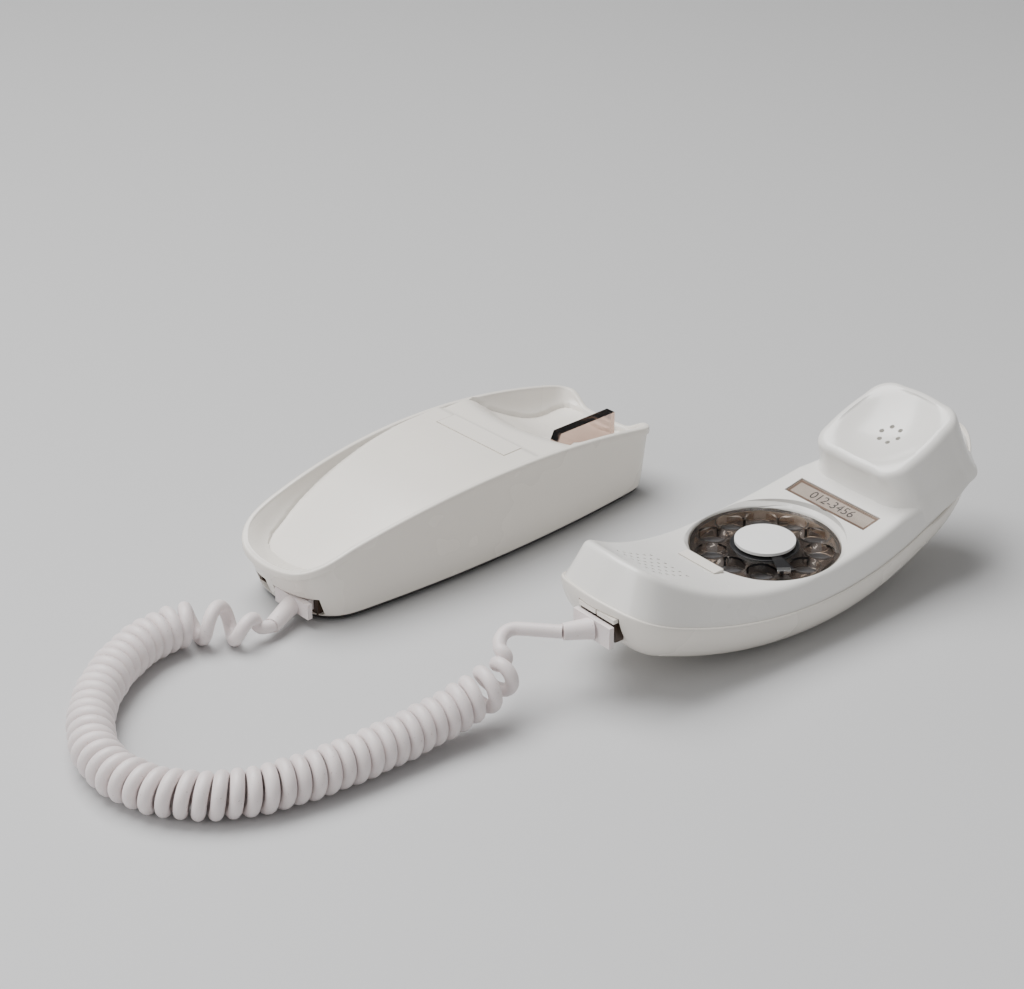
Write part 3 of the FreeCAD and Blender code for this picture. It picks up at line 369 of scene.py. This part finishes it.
def arc_points(a, b, c, count=40):
    """Points on the arc from a through b to c."""
    ax, ay = a
    bx, by = b
    cx, cy = c
    d = 2 * (ax * (by - cy) + bx * (cy - ay) + cx * (ay - by))
    aa, bb, cc = ax * ax + ay * ay, bx * bx + by * by, cx * cx + cy * cy
    ux = (aa * (by - cy) + bb * (cy - ay) + cc * (ay - by)) / d
    uy = (aa * (cx - bx) + bb * (ax - cx) + cc * (bx - ax)) / d
    radius = math.hypot(ax - ux, ay - uy)
    t0 = math.atan2(ay - uy, ax - ux)
    t1 = math.atan2(by - uy, bx - ux)
    t2 = math.atan2(cy - uy, cx - ux)
    ccw = (t1 - t0) % (2 * math.pi) < (t2 - t0) % (2 * math.pi)
    sweep = (t2 - t0) % (2 * math.pi) if ccw else -((t0 - t2) % (2 * math.pi))
    turns = t0 + sweep * np.linspace(0, 1, count)
    return np.column_stack([ux + radius * np.cos(turns), uy + radius * np.sin(turns)])


def plan(half, far_end, near_end):
    """An even ring round a plan of arcs, symmetric about y = 0, first point at the far end."""
    pieces = []
    chain = [(far_end, 0.0)] + list(reversed(half)) + [(near_end, 0.0)]
    first = chain[1]
    last = chain[-2]
    pieces.append(arc_points((first[0], -first[1]), (far_end, 0), first)[20:])
    for k in range(1, len(half) - 1, 2):
        pieces.append(arc_points(chain[k], chain[k + 1], chain[k + 2])[1:])
    pieces.append(arc_points(last, (near_end, 0), (last[0], -last[1]))[1:21])
    line = np.vstack([[far_end, 0]] + pieces + [[near_end, 0]])
    step = np.concatenate([[0], np.cumsum(np.hypot(*np.diff(line, axis=0).T))])
    at = np.linspace(0, step[-1], AROUND // 2 + 1)
    upper = np.column_stack([np.interp(at, step, line[:, 0]), np.interp(at, step, line[:, 1])])
    upper[0, 1] = upper[-1, 1] = 0
    lower = upper[1:-1][::-1] * (1, -1)
    ring = np.vstack([upper, lower])
    for _ in range(PLAN_SMOOTHING):
        ring = (np.roll(ring, 1, axis=0) + 2 * ring + np.roll(ring, -1, axis=0)) / 4
    return ring


def inward(ring):
    """Unit inward normals of a ring that runs anticlockwise."""
    way = np.roll(ring, -1, axis=0) - np.roll(ring, 1, axis=0)
    normal = np.column_stack([-way[:, 1], way[:, 0]])
    return normal / np.linalg.norm(normal, axis=1)[:, None]


def inset(ring, distance):
    return ring + inward(ring) * np.reshape(distance, (-1, 1))


def to_spine(ring, share, low, high):
    """The ring drawn in towards a spine on the x axis."""
    spine = np.column_stack([np.clip(ring[:, 0], low, high), np.zeros(len(ring))])
    return ring * (1 - share) + spine * share


def with_z(ring, z):
    return np.column_stack([ring, np.broadcast_to(z, len(ring))])


def bend(a, corner, b, count=6):
    """Rings that round the corner between ring a and ring b."""
    made = []
    for t in np.linspace(0, 1, count + 1):
        made.append(a * (1 - t) ** 2 + corner * 2 * t * (1 - t) + b * t * t)
    return made


def smooth_min(a, b, radius):
    h = np.clip(0.5 + 0.5 * (b - a) / radius, 0, 1)
    return b * (1 - h) + a * h - radius * h * (1 - h)


def smooth_max(a, b, radius):
    return -smooth_min(-a, -b, radius)


def bow(radius, x, bottom=0.0):
    return bottom + radius - np.sqrt(radius * radius - np.square(x))


def ease(x, low, high):
    t = np.clip((x - low) / (high - low), 0, 1)
    return t * t * (3 - 2 * t)


def block(name, low, high, place=BASE):
    corners = [(x, y, z) for x in (low[0], high[0]) for y in (low[1], high[1]) for z in (low[2], high[2])]
    faces = [(0, 1, 3, 2), (4, 6, 7, 5), (0, 4, 5, 1), (2, 3, 7, 6), (0, 2, 6, 4), (1, 5, 7, 3)]
    return make_object(name, corners, faces, place, False)


def lathe(name, profile, place=BASE, count=96, smooth=False):
    """A closed turned solid; profile is (radius, z) from the bottom axis to the top axis."""
    points, faces = [], []
    for r, z in profile:
        for i in range(count):
            turn = 2 * math.pi * i / count
            points.append((r * math.cos(turn), r * math.sin(turn), z))
    for k in range(len(profile) - 1):
        for i in range(count):
            j = (i + 1) % count
            faces.append((k * count + i, k * count + j, (k + 1) * count + j, (k + 1) * count + i))
    faces.append(tuple(range(count)))
    faces.append(tuple(range((len(profile) - 1) * count, len(profile) * count)))
    return make_object(name, points, faces, place, smooth)


def join(objects, name):
    made = bmesh.new()
    for obj in objects:
        made.from_mesh(obj.data)
        bpy.data.objects.remove(obj)
    mesh = bpy.data.meshes.new(name)
    made.to_mesh(mesh)
    made.free()
    obj = bpy.data.objects.new(name, mesh)
    bpy.context.collection.objects.link(obj)
    return obj


def combine(obj, tool, operation):
    """Cuts or joins by a closed tool, then drops the tool."""
    step = obj.modifiers.new("step", "BOOLEAN")
    step.operation = operation
    step.solver = "EXACT"
    step.object = tool
    bpy.context.view_layer.update()
    done = bpy.data.meshes.new_from_object(obj.evaluated_get(bpy.context.evaluated_depsgraph_get()))
    obj.modifiers.clear()
    obj.data = done
    bpy.data.objects.remove(tool)
    return obj


def finish_mesh(obj, angle=32.0):
    """Smooth shading that keeps the true edges sharp."""
    made = bmesh.new()
    made.from_mesh(obj.data)
    bmesh.ops.remove_doubles(made, verts=made.verts, dist=1e-7)
    made.to_mesh(obj.data)
    made.free()
    for face in obj.data.polygons:
        face.use_smooth = True
    obj.data.set_sharp_from_angle(angle=math.radians(angle))
    return obj


def dress(obj, body, slot, material, *nodes):
    paint(obj, material)
    if nodes:
        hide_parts(*nodes)
    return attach(obj, body)


# ------------------------------------------------------------ curly cord
STRAND_R = 2.65
HELIX_R = 6.35
CORD_ROUTE = [
    (-107, -15, 5.4), (-112.5, -15.8, 6.2), (-119, -9, 9.2), (-133, 4, 9.2), (-152, 5, 9.2), (-176, -5, 9.2),
    (-199, -24, 9.2), (-215, -52, 9.2), (-211, -82, 9.2), (-190, -103, 9.2), (-159, -111, 9.2),
    (-128, -113.5, 9.4), (-104, -115, 11.5), (-88, -118, 16.0), (-76, -117, 21.0), (-74.5, -108.5, 26.0),
    (-66.0, -105.5, 28.0), (-60.0, -112.8, 28.0), (-52.9, -121.0, 27.8),
]
STRETCHED_PITCH = 13.5
TIGHT_PITCH = 5.75
LOOSE_PITCH = 8.5
TURN_POINTS = 26
HELIX_HAND = 1
START_PHASE = math.radians(200)


def spline_line(points):
    """Points along the smooth line that the route's control points give, in millimetres."""
    data = bpy.data.curves.new("route", "CURVE")
    data.dimensions = "3D"
    data.resolution_u = 40
    spline = data.splines.new("NURBS")
    spline.points.add(len(points) - 1)
    for control, point in zip(spline.points, points):
        control.co = (*(Vector(point) * MM), 1)
    spline.order_u = 3
    spline.use_endpoint_u = True
    obj = bpy.data.objects.new("route", data)
    bpy.context.collection.objects.link(obj)
    mesh = bpy.data.meshes.new_from_object(obj)
    line = np.array([v.co[:] for v in mesh.vertices]) / MM
    bpy.data.objects.remove(obj)
    bpy.data.curves.remove(data)
    bpy.data.meshes.remove(mesh)
    return line


def helix_line():
    """The strand's centreline: a helix about the route, loose near both plugs."""
    line = spline_line(CORD_ROUTE)
    step = np.concatenate([[0], np.cumsum(np.linalg.norm(np.diff(line, axis=0), axis=1))])
    total = step[-1]
    at, phase, strand = 0.0, START_PHASE, []
    while at < total:
        loose = 1 - ease(at, 26.0, 40.0)
        slack = ease(at, total - 60.0, total - 46.0)
        pitch = TIGHT_PITCH + (STRETCHED_PITCH - TIGHT_PITCH) * loose + (LOOSE_PITCH - TIGHT_PITCH) * slack
        swell = ease(at, 3.0, 15.0) * (1 - ease(at, total - 46.0, total - 29.0))
        centre = np.array([np.interp(at, step, line[:, k]) for k in range(3)])
        ahead = np.array([np.interp(min(at + 0.5, total), step, line[:, k]) for k in range(3)])
        behind = np.array([np.interp(max(at - 0.5, 0), step, line[:, k]) for k in range(3)])
        way = Vector(ahead - behind).normalized()
        side = way.cross(Vector((0, 0, 1))).normalized()
        up = side.cross(way)
        radius = HELIX_R * swell * (1 + 0.03 * math.sin(0.7 * phase + 1.3))
        strand.append(centre + radius * np.array(side * math.cos(phase) + up * math.sin(phase)))
        turn = 2 * math.pi / TURN_POINTS
        phase += HELIX_HAND * turn
        at += pitch / TURN_POINTS
    strand.append(line[-1])
    return np.array(strand)


def tube(name, line, radius, sides=14):
    """A round tube along a dense line, its rings carried without twist."""
    points, faces = [], []
    way = Vector(line[1] - line[0]).normalized()
    side = way.cross(Vector((0, 0, 1))).normalized()
    for k, point in enumerate(line):
        fresh = Vector(line[min(k + 1, len(line) - 1)] - line[max(k - 1, 0)]).normalized()
        side = (side - fresh * side.dot(fresh)).normalized()
        up = side.cross(fresh)
        for i in range(sides):
            turn = 2 * math.pi * i / sides
            points.append(Vector(point) + (side * math.cos(turn) + up * math.sin(turn)) * radius)
    for k in range(len(line) - 1):
        for i in range(sides):
            j = (i + 1) % sides
            faces.append((k * sides + i, k * sides + j, (k + 1) * sides + j, (k + 1) * sides + i))
    faces.append(tuple(range(sides)))
    faces.append(tuple(range((len(line) - 1) * sides, len(line) * sides)))
    return make_object(name, points, faces)


strand = helix_line()
curly_cord = tube("curly_cord", strand, STRAND_R)
paint(curly_cord, CORD)
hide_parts("cord_lead_base", "cord_coil", "cord_lead_handset")
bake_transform(curly_cord)

# ------------------------------------------------------------ cradle base
BASE_PLAN = plan([(-98, 9.5), (-95.0, 19.0), (-84, 26.6), (10, 32.5), (83, 28.8), (89.2, 26.6), (91, 21.5)],
                 87.5, -99.0)
RIM_TOP = 41.0
FOOT_Z = 2.8
LIP = 3.3
RIM_IN = 2.4


def base_rim(x, y):
    """Height of the rim: one long arch, lower where the receiver end dips between its horns."""
    arch = RIM_TOP - bow(340.0, x) - 0.0042 * np.square(np.maximum(0, -x - 72))
    dip = ease(x, 80, 86) * (1 - ease(np.abs(y), 11, 23)) * 5.2
    return arch - dip


def scoop_floor(x):
    """Floor under the mouthpiece: a long convex fall from the saddle to the cord end."""
    return 40.6 - 0.00312 * np.square(np.maximum(0, 6 - x)) + 0.0000075 * np.maximum(0, 6 - x) ** 3


def well_floor(x, y):
    """Floor under the receiver: a rounded step down behind the saddle, then a long dish."""
    edge = 27.6 + 0.006 * np.square(y - 3)
    run = x - edge
    step = 39.4 - 0.052 * np.square(np.maximum(0, run))
    slope = 36.5 - 0.47 * np.maximum(0, run - 4)
    fall = smooth_max(slope, np.minimum(step, 60), 4.0)
    return smooth_max(fall, np.full_like(x, 22.4), 5.0)


def cradle_floor(x, y):
    return smooth_min(scoop_floor(x), np.where(x > 20, well_floor(x, y), 60.0), 1.2)


def cradle_top(points, gap):
    """Top surface inside the rim: walls that lean in, blended into the floor. gap is the
    distance in from the rim's inner edge."""
    x, y = points[:, 0], points[:, 1]
    steep = np.interp(x, [-99, -88, -74, -54, -33, 0, 30, 45, 75, 90],
                      [0.9, 0.95, 1.3, 2.4, 4, 6, 3, 1.9, 1.5, 1.4])
    wall = base_rim(x, y) - 0.8 - steep * gap
    floor = cradle_floor(x, y)
    open_end = ease(x, 80, 87) * (1 - ease(np.abs(y), 13, 23))
    wall = wall * (1 - open_end) + floor * open_end
    radius = np.interp(x, [-99, -40, -20, 20, 40, 90], [5.0, 3.5, 1.5, 1.5, 6.0, 6.0])
    return np.where(floor > wall, floor, smooth_max(floor, wall, radius))


def foot_ring(ring):
    """The rim's plan drawn in at both ends, as the walls lean outwards going up."""
    x = np.where(ring[:, 0] < 0, ring[:, 0] * 90.5 / 99.0, ring[:, 0] * 84.5 / 89.5)
    return np.column_stack([x, ring[:, 1] * 0.985])


def base_wall(ring, z, rim):
    """The wall's ring at height z, between the foot and the rim."""
    share = ((z - FOOT_Z) / (rim - FOOT_Z))[:, None]
    return foot_ring(ring) * (1 - share) + ring * share


def cradle_rings():
    outer = BASE_PLAN
    rim = base_rim(outer[:, 0], outer[:, 1])
    rings = [with_z(inset(foot_ring(outer), 3.0), FOOT_Z), with_z(inset(foot_ring(outer), 1.2), FOOT_Z)]
    rings += bend(with_z(inset(foot_ring(outer), 1.2), FOOT_Z), with_z(foot_ring(outer), FOOT_Z),
                  with_z(base_wall(outer, np.full(AROUND, FOOT_Z + 1.4), rim), FOOT_Z + 1.4), 5)[1:]
    low, high = FOOT_Z + 1.4, rim - LIP - 0.4
    for share in (0.25, 0.5, 0.75, 1.0):
        z = low + (high - low) * share
        rings.append(with_z(inset(base_wall(outer, z, rim), 0.45 * ease(share, 0.2, 1)), z))
    rings.append(with_z(inset(outer, 0.45), rim - LIP - 0.12))
    rings.append(with_z(inset(outer, 0.06), rim - LIP + 0.12))
    rings.append(with_z(outer, rim - LIP + 0.5))
    start, stop = with_z(outer, rim - 1.1), with_z(inset(outer, 1.1), rim)
    rings += bend(start, with_z(outer, rim), stop, 5)
    inner = inset(outer, RIM_IN)
    rings += bend(with_z(inset(outer, 1.5), rim), with_z(inset(outer, RIM_IN - 0.1), rim),
                  with_z(inner, cradle_top(with_z(inner, 0), np.zeros(AROUND))), 4)
    width = np.hypot(*(inner - to_spine(inner, 1.0, *BASE_SPINE)).T)
    for share in np.concatenate([np.linspace(0.012, 0.3, 20), np.linspace(0.33, 1.0, 27)]):
        drawn = to_spine(inner, share, *BASE_SPINE)
        rings.append(with_z(drawn, cradle_top(with_z(drawn, 0), width * share)))
    return rings


def base_shell():
    """Hollow moulding: the outside skin from the middle out and down, then the inside skin back."""
    outer = BASE_PLAN
    rim = base_rim(outer[:, 0], outer[:, 1])
    rings = list(reversed(cradle_rings()))
    for z_share in (0.15, 0.5, 0.8):
        z = FOOT_Z + (rim - LIP - FOOT_Z) * z_share
        rings.append(with_z(inset(base_wall(outer, z, rim), WALL + 0.3), z))
    under = inset(outer, RIM_IN + WALL + 0.4)
    width = np.hypot(*(under - to_spine(under, 1.0, *BASE_SPINE)).T)
    for share in (0.06, 0.12, 0.2, 0.3, 0.4, 0.55, 0.7, 0.85, 1.0):
        drawn = to_spine(under, share, *BASE_SPINE)
        gap = width * share + 2 * WALL + 0.4
        rings.append(with_z(drawn, cradle_top(with_z(drawn, 0), gap) - WALL))
    return loft("cradle_shell", rings)


LEVER_Y = -19.8


def cradle():
    """The moulded top with its openings for the jacks, lever, wheel and saddle plate."""
    shell = base_shell()
    cutters = [
        block("cut", (-100, -20.7, 3.9), (-84, 0.7, 11.7)),
        block("cut", (-100, 5.8, 4.4), (-84, 18.2, 12.0)),
        block("cut", (37.6, LEVER_Y - 3.0, 15.0), (72.4, LEVER_Y + 3.0, 45.0)),
        block("cut", (-3.2, 26, 4.6), (19.2, 36, 10.0)),
    ]
    combine(shell, join(cutters, "cutters"), "DIFFERENCE")
    plate = block("cut", (9.3, -20.9, 40.0), (19.7, 20.9, 45.0))
    combine(shell, plate, "DIFFERENCE")
    finish_mesh(shell, 40)
    return dress(shell, "base", "ivory_plastic", IVORY, "base_housing")


# ------------------------------------------------------------ handset shells
REAR_PLAN = plan([(-88.6, 13.0), (-86.6, 21.5), (-78.5, 27.4), (0, 34.2), (62, 30.0), (90, 23.0),
                  (104.0, 11.5)],
                 108.5, -90.5)
FRONT_PLAN = inset(REAR_PLAN, 1.0)
FACE_PLAN = plan([(-79.8, 9.0), (-78.4, 16.6), (-73.5, 20.8), (-40, 27.6), (5, 31.6), (40, 30.0), (80, 24.5),
                  (94, 18.5), (100, 9)], 102.0, -80.5)
FACE_ROUND = 3.2


def face_z(x):
    mouth_side = bow(120.0, np.minimum(x, -8) + 8, -0.27)
    ear_side = bow(230.0, np.maximum(x, -8) + 8, -0.27)
    return np.where(x < -8, mouth_side, ear_side)


def parting_z(x):
    return bow(212.0, x, -12.0)


def belly_z(x):
    return np.where(x < 3, bow(215.0, np.minimum(x, 3) - 3, -30.4), bow(172.0, np.maximum(x, 3) - 3, -30.4))


def face_top(x):
    """Height of the front face's edge: the face, then the low shoulder beside the receiver."""
    shoulder = parting_z(x) + 13.2 - 9.4 * np.clip((x - 46) / 52, 0, 1.05)
    return np.where(x < 46, face_z(np.minimum(x, 46)), shoulder)


def on_parting(ring, lift):
    return with_z(ring, parting_z(ring[:, 0]) + lift)


def front_body():
    """Hollow front moulding without the receiver cap: wall, rounded edge, face, and inside."""
    seam = on_parting(FRONT_PLAN, 0.15)
    seam_in = on_parting(inset(FRONT_PLAN, 0.35), -0.1)
    edge = with_z(FACE_PLAN, face_top(FACE_PLAN[:, 0]))
    inside_face = inset(FACE_PLAN, FACE_ROUND)
    inside = with_z(inside_face, face_top(inside_face[:, 0]))
    span = np.linalg.norm(edge - seam, axis=1)[:, None]
    below = edge + (seam - edge) * np.minimum(FACE_ROUND / span, 0.6)
    rings = [on_parting(inset(FRONT_PLAN, WALL), -0.1), seam_in, seam]
    for share in (0.33, 0.66):
        rings.append(seam * (1 - share) + below * share)
    rings += bend(below, edge, inside, 8)
    for share in np.linspace(0.04, 1.0, 30):
        drawn = to_spine(inside_face, share, *FRONT_SPINE)
        rings.append(with_z(drawn, face_top(drawn[:, 0])))
    rings.reverse()
    rings.append(on_parting(inset(FRONT_PLAN, WALL + 0.3), 0.1))
    under_plan = inset(FACE_PLAN, FACE_ROUND + 0.5)
    for share in (0.04, 0.15, 0.3, 0.5, 0.7, 0.85, 1.0):
        drawn = to_spine(under_plan, share, *FRONT_SPINE)
        rings.append(with_z(drawn, face_top(drawn[:, 0]) - WALL))
    return loft("handset_front", rings, HANDSET)


CAP_PLAN = plan([(-22.4, 11.0), (-20.4, 20.2), (-12.5, 23.3), (0, 23.7), (11, 22.4), (19.8, 19.2),
                 (22.2, 11)],
                23.2, -22.9)
DISH_R = 44.0


def receiver_cap():
    """Receiver end: tapered block with rounded edges and the round ear dish in its top."""
    ring = CAP_PLAN
    normal = -inward(ring)
    flare = 0.20 - 0.17 * ease(normal[:, 0], 0.0, 0.8) - 0.16 * np.maximum(-normal[:, 0], 0)
    to_handset = np.array(EAR)
    rings = []
    for depth in (26.0, 22.0, 19.0, 17.0, 15.5, 14.0, 12.5, 11.0, 9.0, 6.0):
        side = ring + normal * (flare * depth)[:, None]
        local = np.column_stack([side, np.full(AROUND, -depth), np.ones(AROUND)]) @ to_handset.T
        clear_of_body = local[:, 2] - face_top(local[:, 0])
        foot = np.square(np.clip(4.5 - clear_of_body, 0, 5.5)) / 8.0
        spread = foot * (0.35 + 0.65 * np.maximum(-normal[:, 0], 0))
        rings.append(with_z(side + normal * spread[:, None], -depth))
    side = ring + normal * (flare * 3.6)[:, None]
    corner = with_z(ring, 0.0)
    rings += bend(with_z(side, -3.6), corner, with_z(inset(ring, 3.4), 0.0), 9)
    inner = inset(ring, 3.4)
    for share in np.concatenate([np.linspace(0.02, 0.2, 8), np.linspace(0.23, 0.97, 24)]):
        drawn = inner * (1 - share)
        radius = np.hypot(drawn[:, 0], drawn[:, 1])
        sphere = -5.2 + DISH_R - np.sqrt(DISH_R ** 2 - np.square(radius))
        rings.append(with_z(drawn, -np.log1p(np.exp(-2.2 * sphere)) / 2.2))
    return loft("receiver_cap", rings, HANDSET @ EAR, fan_faces)


CARD_X = 36.6
CARD_SLOPE = math.radians(-11.8)
CARD_TILT = Matrix.Translation((CARD_X, 0, float(face_z(np.array([CARD_X]))[0]))) @ Matrix.Rotation(
    CARD_SLOPE, 4, "Y")
MOUTH = Matrix.Translation((-59.4, 0, float(bow(120.0, -51.4, -0.27)))) @ Matrix.Rotation(
    math.asin(51.4 / 120.0), 4, "Y")
DIAL_R = 29.9


def drill(radius, low, high, spots, place):
    """One mesh of many round drills."""
    drills = []
    for x, y in spots:
        spot = place @ Matrix.Translation((x, y, 0))
        drills.append(lathe("drill", [(radius, low), (radius, high)], spot, 20))
    return join(drills, "drills")


def dial_collar():
    """Wall round the dial well, raised at both ends to meet the underside of the curved face."""
    turn = np.linspace(0, 2 * math.pi, AROUND, endpoint=False)
    ring = np.column_stack([np.cos(turn), np.sin(turn)])
    ends = ease(np.abs(ring[:, 0]) * DIAL_R, 12, 24)
    outer = ring * (DIAL_R + 1.4 + 1.6 * ends)[:, None]
    top = -1.4 + (face_z(outer[:, 0]) + 0.4) * ends
    return loft("collar", [with_z(outer, -6.2), with_z(outer, top), with_z(ring * (DIAL_R - 2), -2.5)],
                HANDSET, fan_faces)


def handset_front():
    """Front moulding with cap, dial well, sound holes, card recess and recall slot."""
    shell = front_body()
    combine(shell, receiver_cap(), "UNION")
    combine(shell, dial_collar(), "UNION")
    dial = lathe("dial_well", [(DIAL_R, -8.5), (DIAL_R, -0.95), (DIAL_R + 0.35, -0.5), (DIAL_R + 1.9, 0.9),
                               (DIAL_R + 1.9, 14)], HANDSET, 144)
    combine(shell, dial, "DIFFERENCE")
    ear_spots = [(4.45 * math.cos(math.radians(30 + 60 * i)), 4.45 * math.sin(math.radians(30 + 60 * i)))
                 for i in range(6)]
    combine(shell, drill(1.05, -13, -2, ear_spots, HANDSET @ EAR), "DIFFERENCE")
    mouth_spots = [(3.8 * (i - 2.5), 4.05 * (j - 2.5)) for i in range(6) for j in range(6)]
    combine(shell, drill(0.8, -5, 5, mouth_spots, HANDSET @ MOUTH), "DIFFERENCE")
    card = block("card_cut", (-4.95, -21.9, -1.35), (4.95, 21.9, 6), HANDSET @ CARD_TILT)
    combine(shell, card, "DIFFERENCE")
    recall = block("recall_cut", (-36.9, -10.3, -6), (-31.5, 10.3, 9), HANDSET)
    combine(shell, recall, "DIFFERENCE")
    finish_mesh(shell, 38)
    return dress(shell, "handset", "ivory_plastic", IVORY_COOL, "handset_front_shell")


BELLY_ROUND = 17.0


def handset_rear():
    """Rear moulding: a shallow boat whose rim stands a little proud of the front's seam."""
    ring = REAR_PLAN
    width = np.hypot(*(ring - to_spine(ring, 1.0, *REAR_SPINE)).T)
    top = parting_z(ring[:, 0])
    rings = [with_z(inset(ring, WALL), top - 0.2), with_z(inset(ring, 1.15), top - 0.1),
             with_z(inset(ring, 0.9), top + 0.55)]
    rings += bend(with_z(inset(ring, 0.7), top + 0.6), with_z(ring, top + 0.6), with_z(ring, top - 0.3), 4)
    turns = np.concatenate([np.linspace(4, 60, 12), np.linspace(65, 90, 8)])
    for turn in np.radians(turns):
        share = np.minimum(BELLY_ROUND * (1 - math.cos(turn)) / width, 0.97)[:, None]
        drawn = to_spine(ring, share, *REAR_SPINE)
        x = drawn[:, 0]
        deep = parting_z(x) - (parting_z(x) - belly_z(x)) * math.sin(turn)
        rings.append(with_z(drawn, deep))
    last = rings[-1][:, :2]
    for share in (0.25, 0.5, 0.75, 1.0):
        drawn = to_spine(last, share, *REAR_SPINE)
        rings.append(with_z(drawn, belly_z(drawn[:, 0])))
    rings.reverse()
    under = inset(ring, WALL)
    wide = np.hypot(*(under - to_spine(under, 1.0, *REAR_SPINE)).T)
    for turn in np.radians([5, 15, 30, 45, 60, 75, 90]):
        share = np.minimum(BELLY_ROUND * (1 - math.cos(turn)) / wide, 0.96)[:, None]
        drawn = to_spine(under, share, *REAR_SPINE)
        x = drawn[:, 0]
        depth = np.maximum(parting_z(x) - belly_z(x) - WALL, 0.5)
        rings.append(with_z(drawn, parting_z(x) - depth * math.sin(turn) - 0.3))
    last = rings[-1][:, :2]
    for share in (0.3, 0.6, 1.0):
        drawn = to_spine(last, share, *REAR_SPINE)
        x = drawn[:, 0]
        rings.append(with_z(drawn, np.minimum(belly_z(x) + WALL, parting_z(x) - 0.5) - 0.3))
    shell = loft("handset_rear", rings, HANDSET)
    slot = block("plug_cut", (-100, -14.2, -7.2), (-84, 7.2, 4.8), HANDSET)
    combine(shell, slot, "DIFFERENCE")
    finish_mesh(shell, 40)
    return dress(shell, "handset", "ivory_plastic", IVORY, "handset_rear_shell")


def cradle_pan():
    """Steel bottom set in a little from the moulding's foot, with a rolled lower edge."""
    foot = foot_ring(BASE_PLAN)
    rings = [with_z(inset(foot, 2.0), 1.2), with_z(inset(foot, 1.2), 1.5), with_z(inset(foot, 1.0), 2.0),
             with_z(inset(foot, 1.0), FOOT_Z - 0.1)]
    pan = loft("cradle_pan", rings, BASE, fan_faces)
    finish_mesh(pan, 40)
    return dress(pan, "base", "black_steel", BLACK_STEEL, "base_pan")


# ------------------------------------------------------------ print, trim and soft edges
DIGIT_RING = 21.4
DIGIT_STEP = 34.5
FIRST_DIGIT = -88.0
CARD_LENGTH = 43.4
CARD_WIDTH = 9.3
CARD_FRAME = 1.2


def top_of(node):
    """Height of a CAD node's top in the handset's own frame."""
    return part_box(node)[1][2] / MM - HANDSET_Z


def printed(name, marks, place, material, slot):
    """Flat printed marks, each (text, x, y, height), upright towards the place's +X."""
    points, faces = [], []
    for text, x, y, height in marks:
        data = bpy.data.curves.new("mark", "FONT")
        data.body, data.size, data.extrude = text, height * 1.4, 0.012
        data.align_x, data.align_y = "CENTER", "CENTER"
        obj = bpy.data.objects.new("mark", data)
        bpy.context.collection.objects.link(obj)
        mesh = bpy.data.meshes.new_from_object(obj)
        start = len(points)
        points += [(x + v.co.y, y - v.co.x, v.co.z) for v in mesh.vertices]
        faces += [[start + i for i in p.vertices] for p in mesh.polygons]
        bpy.data.objects.remove(obj)
        bpy.data.curves.remove(data)
        bpy.data.meshes.remove(mesh)
    return dress(make_object(name, points, faces, place, False), "handset", slot, material)


def plate_digits():
    marks = []
    for i in range(10):
        turn = math.radians(FIRST_DIGIT + DIGIT_STEP * i)
        marks.append((str((i + 1) % 10), DIGIT_RING * math.cos(turn), DIGIT_RING * math.sin(turn), 4.4))
    height = HANDSET @ Matrix.Translation((0, 0, top_of("number_plate") + 0.03))
    return printed("plate_digits", marks, height, DIGIT_WHITE, "hub_white")


def card_print():
    """Generic digits on the card, and the tinted border printed round it."""
    face = HANDSET @ CARD_TILT @ Matrix.Translation((0, 0, -0.975))
    printed("card_digits", [("012-3456", 0, 0, 4.4)], face, INK, "plate_grey")
    x, y, w = CARD_WIDTH / 2 - 0.2, CARD_LENGTH / 2 - 0.2, CARD_FRAME
    strips = [block("strip", (-x, -y, -0.01), (-x + w, y, 0.01), face),
              block("strip", (x - w, -y, -0.01), (x, y, 0.01), face),
              block("strip", (-x + w, -y, -0.01), (x - w, -y + w, 0.01), face),
              block("strip", (-x + w, y - w, -0.01), (x - w, y, 0.01), face)]
    return dress(join(strips, "card_border"), "handset", "smoked_acrylic", BORDER)


def soften(obj, width):
    edge = obj.modifiers.new("soft_edge", "BEVEL")
    edge.width = width * MM
    edge.segments = 2
    edge.limit_method = "ANGLE"
    edge.angle_limit = math.radians(50)


def stop_tip():
    """Bright lip bent over the outer end of the finger stop."""
    place = HANDSET @ Matrix.Translation((-10.3, -21.0, top_of("finger_stop"))) @ Matrix.Rotation(
        math.radians(-126.6), 4, "Z")
    lip = join([block("lip", (-1.6, -2.6, -0.1), (0.9, 2.6, 0.3), place),
                block("lip", (0.6, -2.6, -1.2), (0.9, 2.6, -0.1), place)], "stop_lip")
    soften(lip, 0.12)
    return dress(lip, "finger_stop", "steel", BRIGHT)


def hub_step():
    """Dark stepped ring between the clear wheel and the hub cap."""
    wheel = top_of("finger_wheel")
    ring = lathe("hub_step", [(13.7, wheel + 0.01), (13.7, wheel + 0.12), (13.3, wheel + 0.2),
                              (12.6, wheel + 0.2), (12.6, wheel + 0.32)], HANDSET)
    return dress(ring, "dial_wheel", "stop_black", STOP)


cradle()
cradle_pan()
handset_front()
handset_rear()
plate_digits()
card_print()
stop_tip()
hub_step()
paint(NODES["hook_lever"], LEVER_SMOKE)
for node, width in (("base_plug", 0.4), ("handset_plug", 0.4), ("plug_latch", 0.3), ("hook_lever", 0.5),
                    ("recall_button", 0.5), ("hub_cap", 0.4)):
    soften(NODES[node], width)
